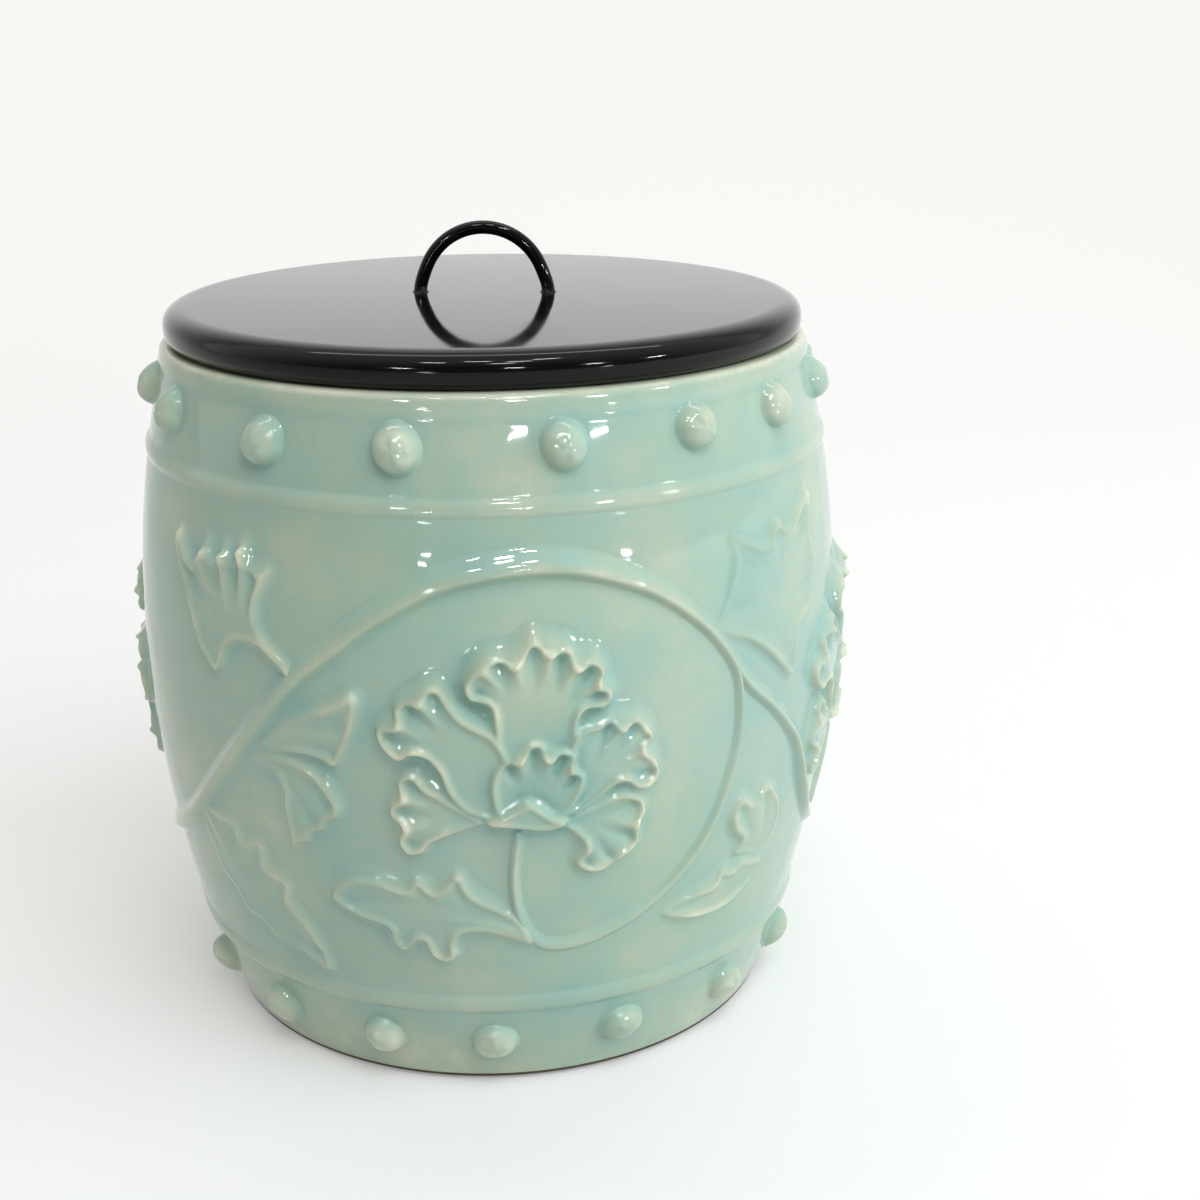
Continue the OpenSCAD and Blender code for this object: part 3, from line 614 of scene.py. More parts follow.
# The studs were set by eye: degrees of sway to the right of the even row, and mm of lean above it. The
# eight shifts are taken to repeat after half a turn, as the scroll does
upper_sway = [2.1, 2.0, -1.0, -0.5, -1.5, -3.9, -0.7, -0.5]
upper_lean = [0.4, 1.0, 1.2, 1.3, 1.4, 0.2, -0.8, 0.1]
lower_sway = [-2.5, -1.6, 1.0, 1.6, -1.5, -3.0, -0.6, -0.4]
lower_lean = [-0.8, -0.1, -1.0, -0.6, -1.2, -2.1, -1.3, -1.1]
even_turns = np.arange(stud_count) * 360 / stud_count
stud_rows = {"upper": (upper_stud_turn + even_turns + np.tile(upper_sway, 2),
                       upper_stud_height + np.tile(upper_lean, 2)),
             "lower": (lower_stud_turn + even_turns + np.tile(lower_sway, 2),
                       lower_stud_height + np.tile(lower_lean, 2))}
across_map, upward_map = np.meshgrid(map_along, map_up)
for turns, levels in stud_rows.values():
    scale = wall_radius(levels.mean()) / drawn_radius
    for turn, level in zip(turns[:stud_count // 2], levels):
        away_along = across_map - math.radians(turn) * drawn_radius + half_turn / 2
        away_along = away_along % half_turn - half_turn / 2
        away = np.hypot(away_along * scale, upward_map - level)
        dome = np.where(away < stud_patch, counted_share * stud_dome(away), 0)
        np.maximum(relief_map, dome, out=relief_map)
relief_map += bead(upward_map, *upper_cord) + bead(upward_map, *lower_cord) + bead(upward_map, *lip)
print("highest place on the map in mm:", relief_map.max().round(2))

# %% Thickness of the glaze from the map
# Smoothed over 0.45 mm and over 1.7 mm
fine = softened(relief_map, 0.45 / map_step)
broad = softened(relief_map, 1.7 / map_step)


def spread_max(grid, cells):
    """Highest value within a square of cells round each place. Columns wrap round, and rows stop at the
    ends."""
    for _ in range(cells):
        grid = np.maximum(grid, np.maximum(np.roll(grid, 1, 1), np.roll(grid, -1, 1)))
        grid[1:] = np.maximum(grid[1:], grid[:-1])
        grid[:-1] = np.maximum(grid[:-1], grid[1:])
    return grid


# A hollow less than 9 mm wide is filled to its edge by spreading the high places and then the low ones
pool_cells = round(4.5 / map_step)
filled = -spread_max(-spread_max(fine, pool_cells), pool_cells)
# A fifth of its depth, smoothed over 1.2 mm, counts as well
ridge_map = fine - broad - 0.2 * softened(filled - fine, 1.2 / map_step)


def glaze_pool_and_painted_light(along, height):
    """Thickness of the glaze from 0, thin on a ridge, to 1, deep in a hollow, read from the map between its
    four nearest places. It starts at one half, less 0.55 for each mm that the place stands over its
    surroundings, and less up to 0.16 towards the foot, which is painted light: it makes the downward-facing
    foot band paler to lift its shade."""
    column = (along / half_turn * map_columns) % map_columns
    row = np.clip((height - map_low) / map_step, 0, len(map_up) - 2)
    left, low = np.floor(column).astype(int), np.floor(row).astype(int)
    part, lift = column - left, row - low
    left, next_column = left % map_columns, (left + 1) % map_columns
    ridge = ((ridge_map[low, left] * (1 - part) + ridge_map[low, next_column] * part) * (1 - lift)
             + (ridge_map[low + 1, left] * (1 - part) + ridge_map[low + 1, next_column] * part) * lift)
    # Painted light: the last term makes the glaze paler towards the foot to lift the shade on the
    # downward-facing foot band
    return np.clip(0.5 - 0.55 * ridge - 0.16 * (1 - ease((height - 8) / 16)), 0, 1)


glaze_and_light_map = glaze_pool_and_painted_light(map_places[:, 0], map_places[:, 1])
print("glaze from", glaze_and_light_map.min().round(2), "to", glaze_and_light_map.max().round(2))

# %% [markdown]
# ## Materials
# Three finishes make the jar. Each is built from procedural nodes that read Object coordinates, so that the
# pattern stays put on the piece, or the glaze value stored on the points. One small function adds a node
# with its settings.

# %% Node and colour helpers


def linear(hex_colour):
    """Linear colour from an sRGB hex value: under 0.04045 divided by 12.92, else the 2.4 power curve."""
    parts = np.array([int(hex_colour[i:i + 2], 16) for i in (1, 3, 5)]) / 255
    return (*np.where(parts <= 0.04045, parts / 12.92, ((parts + 0.055) / 1.055) ** 2.4).tolist(), 1.0)


def add_node(tree, kind, links=None, sockets=None, **settings):
    """Adds one node: settings are its properties, sockets its input values, and links name what feeds its
    inputs."""
    made = tree.nodes.new(kind)
    for name, value in settings.items():
        setattr(made, name, value)
    for name, value in (sockets or {}).items():
        made.inputs[name].default_value = value
    for name, source in (links or {}).items():
        tree.links.new(source, made.inputs[name])
    return made


def new_finish(name):
    """A new material with an empty node tree, its Principled shader and its output."""
    finish = bpy.data.materials.new(name)
    finish.use_nodes = True
    finish.node_tree.nodes.clear()
    shader = add_node(finish.node_tree, "ShaderNodeBsdfPrincipled")
    add_node(finish.node_tree, "ShaderNodeOutputMaterial", {"Surface": shader.outputs["BSDF"]})
    return finish, finish.node_tree, shader


def fill_ramp(ramp, stops):
    """Sets a colour ramp to stops of place and hex colour, in order."""
    elements = ramp.color_ramp.elements
    while len(elements) < len(stops):
        elements.new(0.5)
    for element, (place, colour) in zip(elements, stops):
        element.position = place
        element.color = linear(colour)


print("mid glaze colour, linear:", [round(c, 3) for c in linear("#a3bdae")[:3]])

# %% [markdown]
# Celadon is a feldspar glaze with about two parts in a hundred of iron, fired in a smoky flame. It gives
# the eye a pale grey-green on the ridges, a blue-green in the hollows, a soft cloudiness from fine bubbles,
# and a wet shine.

# %% Celadon glaze
celadon, tree, shader = new_finish("celadon_glaze_on_porcelain")
coords = add_node(tree, "ShaderNodeTexCoord")
stored_glaze_and_light = add_node(tree, "ShaderNodeAttribute", attribute_name="glaze_pool_and_painted_light")
# Clouds about 28 mm across, as the flame and the glaze bucket leave them
clouds = add_node(tree, "ShaderNodeTexNoise", {"Vector": coords.outputs["Object"]},
                  {"Scale": 1 / 0.028, "Detail": 6.0, "Roughness": 0.6})
cloudy = add_node(tree, "ShaderNodeMath", {0: clouds.outputs["Fac"], 2: stored_glaze_and_light.outputs["Fac"]}, {1: 1.5},
                  operation="MULTIPLY_ADD")
# Milky fleck from bubbles, drawn 0.9 mm across, coarser than it is, so that it shows
fleck = add_node(tree, "ShaderNodeTexNoise", {"Vector": coords.outputs["Object"]},
                 {"Scale": 1 / 0.0009, "Detail": 2.0, "Roughness": 0.6})
flecked = add_node(tree, "ShaderNodeMath", {0: fleck.outputs["Fac"], 2: cloudy.outputs["Value"]}, {1: 0.16},
                   operation="MULTIPLY_ADD")
centred = add_node(tree, "ShaderNodeMath", {0: flecked.outputs["Value"]}, {1: 0.83}, operation="SUBTRACT")
glaze_and_shade_colour = add_node(tree, "ShaderNodeValToRGB", {"Fac": centred.outputs["Value"]})
# The darkest stops, at 0.9 and 1.0, are partly glaze that pools and partly painted shade: they darken the
# foot of steep relief edges, where shadow falls
fill_ramp(glaze_and_shade_colour, [(0.0, "#cdd2bd"), (0.25, "#b3c2af"), (0.5, "#a3bdae"), (0.72, "#9abbb1"),
                         (0.9, "#90b5ae"), (1.0, "#84a9a0")])
# Patches about 60 mm across where the flame left the green yellower
flame = add_node(tree, "ShaderNodeTexNoise", {"Vector": coords.outputs["Object"]},
                 {"Scale": 1 / 0.060, "Detail": 2.0, "Roughness": 0.5})
tint = add_node(tree, "ShaderNodeMapRange", {"Value": flame.outputs["Fac"]},
                {"From Min": 0.42, "From Max": 0.68, "To Min": 0.0, "To Max": 0.22})
warmed = add_node(tree, "ShaderNodeMix", {0: tint.outputs["Result"], 6: glaze_and_shade_colour.outputs["Color"]},
                  {7: linear("#fbfadf")}, data_type="RGBA", blend_type="MULTIPLY")
tree.links.new(warmed.outputs[2], shader.inputs["Base Color"])
# Slow waves 14 mm long in the skin of the glaze, which make its reflections wander
waves = add_node(tree, "ShaderNodeTexNoise", {"Vector": coords.outputs["Object"]},
                 {"Scale": 1 / 0.014, "Detail": 1.0, "Roughness": 0.4})
skin = add_node(tree, "ShaderNodeBump", {"Height": waves.outputs["Fac"]},
                {"Strength": 0.35, "Distance": 0.0007})
tree.links.new(skin.outputs["Normal"], shader.inputs["Normal"])
shader.inputs["Roughness"].default_value = 0.04
shader.inputs["IOR"].default_value = 1.5
print("made", celadon.name, "with", len(tree.nodes), "nodes")

# %% [markdown]
# The ring that the jar stands on and the bevel at the foot are wiped free of glaze before firing, or the jar
# would stick to the shelf. The bare clay burns to a dark brown with a sandy grain, so it scatters light and
# hardly shines. Its brown is darkened towards black and carried a little way up the wall, which paints the
# contact shadow where the jar meets the floor.

# %% Bare clay of the foot
bare_clay_and_foot_shadow, tree, shader = new_finish("bare_clay_and_painted_foot_shadow")
coords = add_node(tree, "ShaderNodeTexCoord")
# Sandy grain of about 0.8 mm
grain = add_node(tree, "ShaderNodeTexNoise", {"Vector": coords.outputs["Object"]},
                 {"Scale": 1 / 0.0008, "Detail": 4.0, "Roughness": 0.6})
clay_and_shadow_colour = add_node(tree, "ShaderNodeValToRGB", {"Fac": grain.outputs["Fac"]})
# Painted shadow: the dark end of this brown is near black, so that the strip reads as the contact shadow at
# the foot as well as bare clay
fill_ramp(clay_and_shadow_colour, [(0.3, "#383126"), (0.7, "#5c503c")])
tree.links.new(clay_and_shadow_colour.outputs["Color"], shader.inputs["Base Color"])
sand = add_node(tree, "ShaderNodeBump", {"Height": grain.outputs["Fac"]},
                {"Strength": 0.4, "Distance": 0.0002})
tree.links.new(sand.outputs["Normal"], shader.inputs["Normal"])
shader.inputs["Roughness"].default_value = 0.85
shader.inputs["IOR"].default_value = 1.5
print("made", bare_clay_and_foot_shadow.name)

# %% [markdown]
# Black lacquer is sap with iron in it, brushed on in many thin coats and polished with charcoal and powder.
# It is as black as ink seen from above, and at a low angle it mirrors the room, with only a faint long wave
# left by the brush.

# %% Black lacquer
lacquer, tree, shader = new_finish("black_lacquer_on_turned_wood")
coords = add_node(tree, "ShaderNodeTexCoord")
# Patches 25 mm wide where the polish is a little duller
rubbed = add_node(tree, "ShaderNodeTexNoise", {"Vector": coords.outputs["Object"]},
                  {"Scale": 1 / 0.025, "Detail": 3.0, "Roughness": 0.6})
polish = add_node(tree, "ShaderNodeMapRange", {"Value": rubbed.outputs["Fac"]},
                  {"From Min": 0.3, "From Max": 0.7, "To Min": 0.05, "To Max": 0.11})
tree.links.new(polish.outputs["Result"], shader.inputs["Roughness"])
black = add_node(tree, "ShaderNodeValToRGB", {"Fac": rubbed.outputs["Fac"]})
fill_ramp(black, [(0.3, "#060505"), (0.7, "#0c0a09")])
tree.links.new(black.outputs["Color"], shader.inputs["Base Color"])
brushed = add_node(tree, "ShaderNodeBump", {"Height": rubbed.outputs["Fac"]},
                   {"Strength": 0.08, "Distance": 0.0004})
tree.links.new(brushed.outputs["Normal"], shader.inputs["Normal"])
# A clear coat over the black one: two weak layers mirror more at a low angle and less face on than one
# strong one
shader.inputs["IOR"].default_value = 1.23
shader.inputs["Coat Weight"].default_value = 0.5
shader.inputs["Coat IOR"].default_value = 1.26
shader.inputs["Coat Roughness"].default_value = 0.05
print("made", lacquer.name)

# %% [markdown]
# ## Making the pieces
# A new piece is a mesh filled from whole arrays. It stays at the origin with its place in its points, like
# the solids. Then it is hung under an empty for the body it rides on, the solid it stands for is hidden, and
# its finishes are added to it.

# %% One function for every piece


def make_piece(name, points, faces, finishes, body, node, glaze=None, finish_index=None):
    """Mesh from points in mm and lists of corners, all faces smooth, with the glaze value, painted light
    towards the foot included, stored on its points."""
    mesh = bpy.data.meshes.new(name)
    faces = faces.tolist() if isinstance(faces, np.ndarray) else faces
    mesh.from_pydata((points * MM).tolist(), [], faces)
    mesh.polygons.foreach_set("use_smooth", np.ones(len(mesh.polygons), dtype=bool))
    for finish in finishes:
        mesh.materials.append(finish)
    if finish_index is not None:
        mesh.polygons.foreach_set("material_index", finish_index)
    if glaze is not None:
        stored = mesh.attributes.new("glaze_pool_and_painted_light", "FLOAT", "POINT")
        stored.data.foreach_set("value", glaze.astype(np.float32))
    mesh.update()
    piece = bpy.data.objects.new(name, mesh)
    bpy.context.scene.collection.objects.link(piece)
    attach(piece, body)
    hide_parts(node)
    triangles = sum(len(p.vertices) - 2 for p in mesh.polygons)
    print(name, "points", len(points), "triangles", triangles)


def wall_glaze_and_light(points):
    """Glaze value, with its painted light towards the foot, at points in mm: the turn round the axis gives
    the way along the drawing.
    """
    return glaze_pool_and_painted_light(np.arctan2(points[:, 0], -points[:, 1]) * drawn_radius, points[:, 2])


def turned(profile, columns):
    """Profile of radius and height turned round the axis: each point goes to radius times sine and minus
    cosine of the turn. A first or last point on the axis becomes one pole, closed by a fan."""
    turn = np.arange(columns) * 2 * math.pi / columns
    rings = profile[1:-1]
    points = np.stack([rings[:, :1] * np.sin(turn), -rings[:, :1] * np.cos(turn),
                       np.repeat(rings[:, 1:], columns, 1)], axis=-1).reshape(-1, 3)
    first, last = len(points), len(points) + 1
    points = np.vstack([points, [0, 0, profile[0, 1]], [0, 0, profile[-1, 1]]])
    here, after = np.arange(columns), (np.arange(columns) + 1) % columns
    top = (len(rings) - 1) * columns
    bottom_fan = np.stack([after, here, np.full(columns, first)], axis=1)
    top_fan = np.stack([top + here, top + after, np.full(columns, last)], axis=1)
    return points, grid_faces(len(rings), columns, True).tolist() + bottom_fan.tolist() + top_fan.tolist()


print("ready to make pieces for", len(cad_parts), "solids")

# %% [markdown]
# ## The jar
# The jar is thrown on a wheel, so its surface is one profile turned round the axis: up the outside from the
# foot, over the rim, down the inside and across the floor. The profile is an array of points, with the
# cords added to the radius.

# %% Turn the jar
foot_ring_width, foot_hollow, foot_bevel, floor_thickness = 9.0, 3.5, 1.2, 7.0
rim_round, inner_round, floor_round = 1.6, 1.0, 9.0
# The glaze is wiped off the bevel, and the same dark finish runs on up to the top of a strip that is painted
# contact shadow where the jar meets the floor. Rings lie closer together on the cords than on the plain wall
bare_and_shadow_top = 2.0
heights = np.sort(np.concatenate([
    [foot_bevel], np.linspace(bare_and_shadow_top, body_height - rim_round, 96),
    upper_cord[0] + np.linspace(-3.13, 3.37, 19), lower_cord[0] + np.linspace(-3.13, 4.57, 19)]))
outside = wall_radius(heights) + bead(heights, *upper_cord) + bead(heights, *lower_cord) + bead(heights, *lip)
arc = np.linspace(0, math.pi / 2, 7)
rim_middle = outside[-1] - rim_round
outer_rim = np.stack([rim_middle + rim_round * np.cos(arc),
                      body_height - rim_round + rim_round * np.sin(arc)], axis=1)
mouth_inside = wall_radius(np.array(body_height), wall_thickness)
inner_rim = np.stack([mouth_inside + inner_round - inner_round * np.sin(arc),
                      body_height - inner_round + inner_round * np.cos(arc)], axis=1)
floor_top = foot_hollow + floor_thickness
inner_heights = np.linspace(body_height - inner_round - 1, floor_top + floor_round, 30)
inner_wall = np.stack([wall_radius(inner_heights, wall_thickness), inner_heights], axis=1)
corner = inner_wall[-1, 0] - floor_round
floor_curve = np.stack([corner + floor_round * np.cos(arc),
                        floor_top + floor_round * (1 - np.sin(arc))], axis=1)[1:]
hollow_radius = foot_radius - foot_ring_width
foot = np.array([[0, foot_hollow], [hollow_radius * 0.5, foot_hollow], [hollow_radius - 1.5, foot_hollow],
                 [hollow_radius - 0.3, foot_hollow - 0.4], [hollow_radius, foot_hollow - 1.5],
                 [hollow_radius + 0.1, 0.5], [hollow_radius + 0.6, 0.0],
                 [foot_radius - foot_bevel - 0.4, 0.0], [foot_radius - foot_bevel + 0.1, 0.15]])
floor = np.array([[corner * 0.7, floor_top], [corner * 0.35, floor_top], [0, floor_top]])
profile = np.vstack([foot, np.stack([outside, heights], axis=1), outer_rim[1:], inner_rim, inner_wall,
                     floor_curve, floor])
jar_columns = 480
jar_points, jar_faces = turned(profile, jar_columns)
print("rings of the jar:", len(profile), "widest in mm:", profile[:, 0].max().round(2))

# %% Glaze on the jar
inside_glaze, rim_glaze = 0.55, 0.10
out_from_axis = np.hypot(jar_points[:, 0], jar_points[:, 1])
on_outside = out_from_axis > wall_radius(np.clip(jar_points[:, 2], 0, body_height)) - 1.0
jar_glaze_and_light = np.where(on_outside, wall_glaze_and_light(jar_points), inside_glaze)
rim_share = ease((jar_points[:, 2] - (body_height - 1.8)) / 1.5)
jar_glaze_and_light = jar_glaze_and_light * (1 - rim_share) + rim_glaze * rim_share
# Bare clay shows on the strips from the inner edge of the foot ring over the bevel, and the same dark finish
# on the strip above it, up to 2 mm, paints the contact shadow
first_bare_strip = 4
strip = np.arange(len(jar_faces)) // jar_columns
bare_and_shadow_strips = ((strip >= first_bare_strip) & (strip < len(foot))).astype(np.int32)
make_piece("thrown_jar", jar_points, jar_faces, [celadon, bare_clay_and_foot_shadow], "jar", "jar_body",
           jar_glaze_and_light, bare_and_shadow_strips)

# %% [markdown]
# ## The studs
# Each stud is a dome on a small round grid: rings of points at growing distance from its middle, wrapped on
# the wall like the rest. All sixteen of a row are worked out together as one array.

# %% Press on the two rows of studs
hand = np.random.default_rng(16)


def stud_row(turns, levels):
    """Rings of points round each stud's middle: the way along is the distance times the cosine of the
    angle, and the way up the distance times its sine. The rise is the dome, swelled by a slow wave round
    it, with finger dents halfway out: two more waves times the squared sine of half a turn over 5 mm."""
    rings, spokes, dent_depth = 18, 36, 0.11
    away = np.concatenate([np.linspace(0.15, stud_patch, rings), [stud_patch]])
    angle = np.arange(spokes) * 2 * math.pi / spokes
    size = hand.uniform(0.96, 1.04, (stud_count, 1, 1))
    lobe = hand.uniform(0, 2 * math.pi, (stud_count, 1, 1))
    middle = np.radians(turns) * drawn_radius
    scale = drawn_radius / wall_radius(levels.mean())
    along = middle[:, None, None] + scale * away[None, :, None] * np.cos(angle)
    upward = levels[:, None, None] + away[None, :, None] * np.sin(angle)
    rise = stud_dome(away[None, :, None] / (size * (1 + 0.04 * np.cos(2 * angle - lobe)))) - edge_sink
    dent = np.sin(np.clip(away / 5, 0, 1) * math.pi)[None, :, None] ** 2
    rise = rise + dent_depth * dent * (np.cos(3 * angle + 2 * lobe) + np.cos(5 * angle - 3 * lobe))
    rise[:, -1, :] = -back_depth
    shell = on_wall(along, upward, rise).reshape(stud_count, -1, 3)
    tops = on_wall(middle, levels, stud_dome(np.zeros(stud_count)) - edge_sink)[:, None]
    roots = on_wall(middle, levels, np.full(stud_count, -back_depth))[:, None]
    points = np.concatenate([shell, tops, roots], axis=1)
    here, after = np.arange(spokes), (np.arange(spokes) + 1) % spokes
    outer = rings * spokes
    skin = grid_faces(rings + 1, spokes, True)[:, ::-1]
    top_fan = np.stack([here, after, np.full(spokes, outer + spokes)], axis=1)
    root_fan = np.stack([outer + after, outer + here, np.full(spokes, outer + spokes + 1)], axis=1)
    step = np.arange(stud_count)[:, None, None] * points.shape[1]
    faces = [(part[None] + step).reshape(-1, part.shape[1]).tolist() for part in (skin, top_fan, root_fan)]
    return points.reshape(-1, 3), faces[0] + faces[1] + faces[2]


for name, (turns, levels) in stud_rows.items():
    points, faces = stud_row(turns, levels)
    make_piece(name + "_stud_row", points, faces, [celadon], "jar", name + "_studs",
               wall_glaze_and_light(points))

# %% [markdown]
# ## The peonies, the stem and the leaves
# The scroll repeats after half a turn: a framed flower in front and another behind, with their stem and
# leaves, and a side flower between them on each side. The same grids of heights serve all of them, moved
# along the wall.

# %% Lay on the four peonies
flower_places = {"front": (0.0, 0.0), "right": (side_flower_shift, -side_flower_drop),
                 "back": (half_turn, 0.0), "left": (side_flower_shift - half_turn, -side_flower_drop)}
for side, (shift_along, shift_up) in flower_places.items():
    points, faces = relief_patch(peony_grid, shift_along, shift_up)
    make_piece("peony_relief_" + side, points, faces, [celadon], "jar", "peony_" + side,
               wall_glaze_and_light(points))

# %% Lay on the leaves and the stems
for side, shift_along in (("front", 0.0), ("back", half_turn)):
    points, faces = relief_patch(leaf_grid, shift_along, 0.0)
    make_piece("leaf_relief_" + side, points, faces, [celadon], "jar", "leaves_" + side,
               wall_glaze_and_light(points))
    tubes = [stem_tube(np.array(stem_route) + (shift_along, 0), 10, long_stem_fullness),
             stem_tube(np.array(side_stem_route) + (shift_along - half_turn, 0), 10, side_stem_fullness)]
    start = len(tubes[0][0])
    points = np.vstack([tube[0] for tube in tubes])
    faces = tubes[0][1] + [[corner + start for corner in face] for face in tubes[1][1]]
    make_piece("stem_relief_" + side, points, faces, [celadon], "jar", "scroll_" + side,
               wall_glaze_and_light(points))

# %% [markdown]
# ## The lid
# The lid is a disc of wood turned on a lathe, so it is one more profile: a locating step that drops into
# the mouth, a round edge with a soft upper shoulder, and a top that rises by half a millimetre towards the
# middle.

# %% Turn the lid
lid_bottom, lid_radius = body_height + 0.3, lid_high.x / MM
lid_edge, lid_crown, lid_step_depth, lid_step_gap = 8.0, 0.5, 4.0, 1.0
shoulder_reach, shoulder_drop, lower_reach = 6.0, 4.6, 3.0
lid_top = lid_bottom + lid_edge + lid_crown
step_radius, step_bottom = mouth_inside - lid_step_gap, lid_bottom - lid_step_depth
flat_radius = lid_radius - shoulder_reach
under = np.array([[0, step_bottom], [step_radius * 0.5, step_bottom], [step_radius - 1.2, step_bottom],
                  [step_radius - 0.3, step_bottom + 0.3], [step_radius, step_bottom + 1.2],
                  [step_radius, lid_bottom - 0.5], [step_radius + 0.2, lid_bottom]])
# The edge is half an ellipse whose cosine and sine are raised to four fifths, which flattens its side
edge_power = 2 / 2.5
round_edge = np.linspace(-math.pi / 2, math.pi / 2, 57)
reach = np.where(round_edge < 0, lower_reach, shoulder_reach)
half_height = np.where(round_edge < 0, lid_edge - shoulder_drop, shoulder_drop)
edge_out = np.abs(np.cos(round_edge)) ** edge_power
edge_up = np.sign(round_edge) * np.abs(np.sin(round_edge)) ** edge_power
edge = np.stack([lid_radius - reach + reach * edge_out,
                 lid_bottom + lid_edge - shoulder_drop + half_height * edge_up], axis=1)
crown_radius = np.linspace(flat_radius - 1.5, 0, 40)
crown = np.stack([crown_radius, lid_top - lid_crown * (crown_radius / flat_radius) ** 2], axis=1)
lid_points, lid_faces = turned(np.vstack([under, edge, crown]), 256)
make_piece("lacquered_lid", lid_points, lid_faces, [lacquer], "lid", "lid_board")
print("lid top in mm:", round(lid_top, 2), "solid:", round(lid_high.z / MM, 2))

# %% [markdown]
# ## The ring
# The handle is a half ring of cane or wood, lacquered with the lid, and its legs are set in two holes with
# a little swelling of lacquer at each. It is a circle carried along half a turn whose legs spread a little
# at the foot, and the ring stands six degrees off the jar's width, as the lid happened to be put on.

# %% Bend the ring
ring_rod, ring_width, ring_turn = 3.2, 33.2, math.radians(-6)
leg_steps, ring_spokes = 13, 28
ring_middle = (ring_width - ring_rod) / 2
ring_centre = ring_high.z / MM - ring_width / 2
leg_bottom = lid_top - 2.0
leg = np.linspace(leg_bottom, ring_centre, leg_steps + 1)[:-1]
bend = np.linspace(math.pi, 0, 73)
spread = ring_middle - 0.25 + 0.6 * np.exp(-(np.sin(bend) / 0.22) ** 2)
path = np.vstack([np.stack([np.full(leg_steps, -spread[0]), leg], axis=1),
                  np.stack([spread * np.cos(bend), ring_centre + (ring_middle - 0.2) * np.sin(bend)], axis=1),
                  np.stack([np.full(leg_steps, spread[0]), leg[::-1]], axis=1)])
pace = np.gradient(path, axis=0)
pace = pace / np.hypot(*pace.T)[:, None]
over_lid = path[:, 1] - (lid_top - 0.3)
thick = ring_rod / 2 + 0.7 * np.exp(-(np.clip(over_lid, 0, None) / 0.5) ** 2)
spin = np.arange(ring_spokes) * 2 * math.pi / ring_spokes
sideways = np.stack([-pace[:, 1], np.zeros(len(path)), pace[:, 0]], axis=1)
middle_line = np.stack([path[:, 0], np.zeros(len(path)), path[:, 1]], axis=1)
ring_points = middle_line[:, None] + thick[:, None, None] * (
    np.cos(spin)[None, :, None] * sideways[:, None] + np.sin(spin)[None, :, None] * np.array([0, 1, 0]))
turned_x = ring_points[..., 0] * math.cos(ring_turn) - ring_points[..., 1] * math.sin(ring_turn)
turned_y = ring_points[..., 0] * math.sin(ring_turn) + ring_points[..., 1] * math.cos(ring_turn)
ring_points = np.stack([turned_x, turned_y, ring_points[..., 2]], axis=-1)
last = (len(path) - 1) * ring_spokes
ring_faces = grid_faces(len(path), ring_spokes, True)[:, ::-1].tolist()
ring_faces += [list(range(ring_spokes)), list(range(last, last + ring_spokes))[::-1]]
make_piece("lacquered_ring", ring_points.reshape(-1, 3), ring_faces, [lacquer], "lid", "ring_handle")
print("ring middle radius in mm:", round(ring_middle, 2), "centre height:", round(ring_centre, 2))

# %% [markdown]
# ## Floor, backdrop and light
# The jar stands on a pale floor that sweeps up behind it without a corner, as in a small studio. One broad
# lamp in front and above gives the form, another at the right models the relief, and a third lights the
# backdrop. Narrow lamps that are only mirrored put short bright glints on the glaze and on the edge of the
# lid. The world is pale where it is seen or mirrored and dimmer as a source of light, so that colours come
# out about as they are written.

# %% Sweep the floor up into a backdrop
sweep_radius, wall_place, stage_columns = 0.7, 1.3, 9
sweep = np.linspace(0, math.pi / 2, 24)
flat = np.array([[-2.5, 0.0], [0.0, 0.0]])
curve = np.stack([wall_place - sweep_radius + sweep_radius * np.sin(sweep),
                  sweep_radius * (1 - np.cos(sweep))], axis=1)
section = np.vstack([flat, curve, [[wall_place, 2.4]]])
across = np.linspace(-3.0, 3.0, stage_columns)
stage_points = np.stack([np.tile(across, len(section)), np.repeat(section[:, 0], stage_columns),
                         np.repeat(section[:, 1], stage_columns)], axis=1)
stage_mesh = bpy.data.meshes.new("floor_and_backdrop")
stage_mesh.from_pydata(stage_points.tolist(), [], grid_faces(len(section), stage_columns, False).tolist())
stage_mesh.polygons.foreach_set("use_smooth", np.ones(len(stage_mesh.polygons), dtype=bool))
paper, tree, shader = new_finish("matt_white_paper")
shader.inputs["Base Color"].default_value = linear("#d8d9d8")
shader.inputs["Roughness"].default_value = 0.9
shader.inputs["Specular IOR Level"].default_value = 0.1
# A little white is added where the paper is seen or mirrored, and none where it lights the jar
ray = add_node(tree, "ShaderNodeLightPath")
seen = add_node(tree, "ShaderNodeMath", {0: ray.outputs["Is Camera Ray"], 1: ray.outputs["Is Glossy Ray"]},
                operation="MAXIMUM")
lifted = add_node(tree, "ShaderNodeMath", {0: seen.outputs["Value"]}, {1: 0.24}, operation="MULTIPLY")
tree.links.new(lifted.outputs["Value"], shader.inputs["Emission Strength"])
shader.inputs["Emission Color"].default_value = (1, 1, 1, 1)
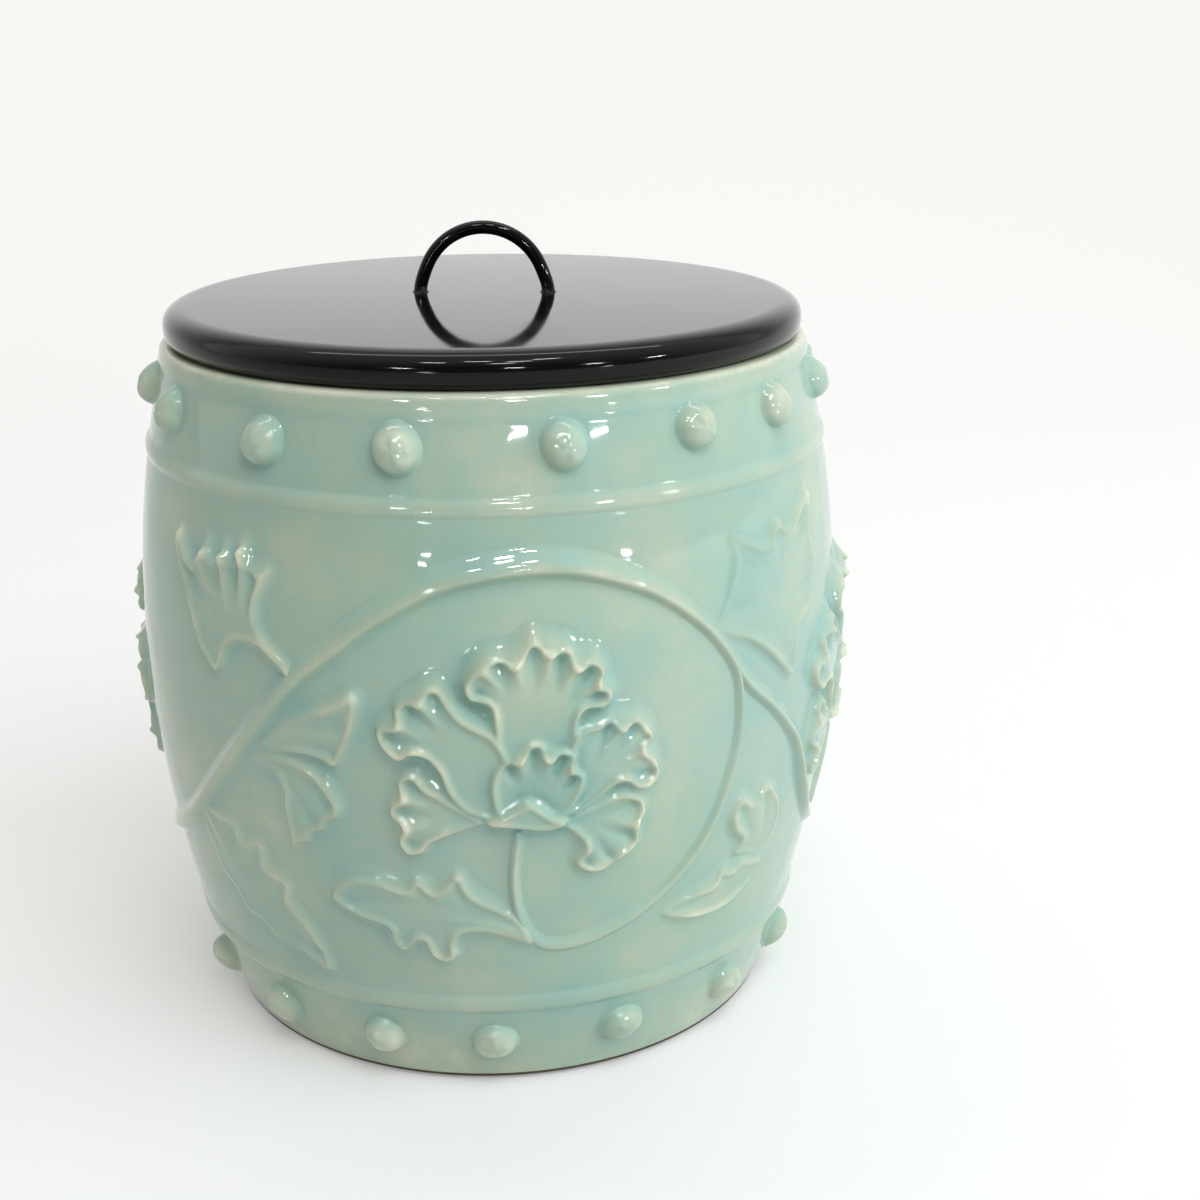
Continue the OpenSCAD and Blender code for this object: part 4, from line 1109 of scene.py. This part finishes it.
# Far from the jar the paper is seen as an even pale tone, so that it ends without a dark edge on any side
pale_tone = linear("#f7f7f4")
spot = add_node(tree, "ShaderNodeTexCoord")
way = add_node(tree, "ShaderNodeVectorMath", {0: spot.outputs["Object"]}, operation="LENGTH")
far = add_node(tree, "ShaderNodeMapRange", {"Value": way.outputs["Value"]},
               {"From Min": 0.4, "From Max": 1.2}, interpolation_type="SMOOTHSTEP")
far_seen = add_node(tree, "ShaderNodeMath", {0: far.outputs["Result"], 1: ray.outputs["Is Camera Ray"]},
                    operation="MULTIPLY")
even = add_node(tree, "ShaderNodeEmission", sockets={"Color": pale_tone, "Strength": 1.0})
both = add_node(tree, "ShaderNodeMixShader", {0: far_seen.outputs["Value"], 1: shader.outputs["BSDF"],
                                              2: even.outputs["Emission"]})
tree.links.new(both.outputs["Shader"], tree.nodes["Material Output"].inputs["Surface"])
stage_mesh.materials.append(paper)
stage = bpy.data.objects.new("floor_and_backdrop", stage_mesh)
bpy.context.scene.collection.objects.link(stage)
print("floor and backdrop faces:", len(stage_mesh.polygons))

# %% Lamps and world


def add_lamp(name, place, aim, size, power, colour):
    """A rectangular lamp at a place in metres, turned so that its -Z axis looks at the aim."""
    light = bpy.data.lights.new(name, "AREA")
    light.shape = "RECTANGLE"
    light.size, light.size_y = size
    light.energy = power
    light.color = linear(colour)[:3]
    lamp = bpy.data.objects.new(name, light)
    back = np.array(place) - np.array(aim)
    back = back / np.linalg.norm(back)
    side = np.cross([0, 0, 1], back)
    side = side / np.linalg.norm(side)
    turn = np.eye(4)
    turn[:3, 0], turn[:3, 1], turn[:3, 2], turn[:3, 3] = side, np.cross(back, side), back, place
    lamp.matrix_world = Matrix(turn.tolist())
    bpy.context.scene.collection.objects.link(lamp)
    return lamp


jar_middle, lamp_way = 0.12, 1.26


def place_round(turn, rise, way):
    """Place in metres at a distance from the jar's middle, by degrees to the right of the front and degrees
    up."""
    level = way * math.cos(math.radians(rise))
    turn = math.radians(turn)
    return (level * math.sin(turn), -level * math.cos(turn), jar_middle + way * math.sin(math.radians(rise)))


# The broad lamps light the jar but are not mirrored in it
broad_lamps = [add_lamp("broad_lamp_above", (0.45, -1.15, 1.55), (0, 0, 0.1), (1.3, 1.3), 20.5, "#f6fbff"),
               add_lamp("side_lamp_right", (1.55, -0.45, 0.65), (0, 0, 0.1), (1.2, 1.3), 15.0, "#f0f9ff")]
for lamp in broad_lamps:
    lamp.visible_glossy = False
add_lamp("backdrop_lamp", (0, 0.35, 1.6), (0, 1.3, 0.5), (1.8, 0.3), 8.3, "#ffffff")

# The narrow lamps are only mirrored: name, size in metres, power in watts, and degrees right and up of each
narrow_lamps = [("glint_lamp", (0.14, 0.03), 1.3, [(-22, 50), (-4, 58), (6, 42), (14, 52), (30, 60)]),
                ("streak_lamp", (0.12, 0.012), 1.6, [(-28, 14), (9, 15), (36, 13), (59, 15)]),
                ("low_lamp", (0.06, 0.01), 0.12, [(-18.3, -3.1), (-20.5, -1.3), (-19.1, 0.4), (40.2, -2.2),
                                                  (40.9, -0.9)])]
for name, size, power, headings in narrow_lamps:
    for k, (turn, rise) in enumerate(headings):
        lamp = add_lamp(name + "_" + str(k), place_round(turn, rise, lamp_way), (0, 0, jar_middle),
                        size, power, "#ffffff")
        lamp.visible_diffuse = False

world = bpy.data.worlds.new("white_room")
bpy.context.scene.world = world
world.use_nodes = True
tree = world.node_tree
tree.nodes.clear()
ray = add_node(tree, "ShaderNodeLightPath")
seen = add_node(tree, "ShaderNodeMath", {0: ray.outputs["Is Camera Ray"], 1: ray.outputs["Is Glossy Ray"]},
                operation="MAXIMUM")
seen = add_node(tree, "ShaderNodeMath", {0: seen.outputs["Value"], 1: ray.outputs["Is Transmission Ray"]},
                operation="MAXIMUM")
strength = add_node(tree, "ShaderNodeMapRange", {"Value": seen.outputs["Value"]},
                    {"To Min": 0.38, "To Max": 1.0})
air = add_node(tree, "ShaderNodeMix", {0: seen.outputs["Value"]}, {6: linear("#fff6e9"), 7: pale_tone},
               data_type="RGBA")
# Mirrored, the room is white behind and above the jar and dim in front of it, where there is no wall near
heading = add_node(tree, "ShaderNodeTexCoord")
towards = add_node(tree, "ShaderNodeVectorMath", {0: heading.outputs["Generated"]}, {1: (0, 0.8, 0.6)},
                   operation="DOT_PRODUCT")
dim = add_node(tree, "ShaderNodeMapRange", {"Value": towards.outputs["Value"]},
               {"From Min": -0.5, "From Max": 0.25, "To Min": 0.16, "To Max": 1.0})
mirrored = add_node(tree, "ShaderNodeMix",
                    {"Factor": ray.outputs["Is Glossy Ray"], "B": dim.outputs["Result"]}, {"A": 1.0})
level = add_node(tree, "ShaderNodeMath",
                 {0: strength.outputs["Result"], 1: mirrored.outputs["Result"]}, operation="MULTIPLY")
room = add_node(tree, "ShaderNodeBackground", {"Color": air.outputs[2], "Strength": level.outputs["Value"]})
add_node(tree, "ShaderNodeOutputWorld", {"Surface": room.outputs["Background"]})

# %% [markdown]
# ## Finish
# The view transform is set to Standard so that colours come out as written.

# %% Finish
bpy.context.scene.view_settings.view_transform = "Standard"
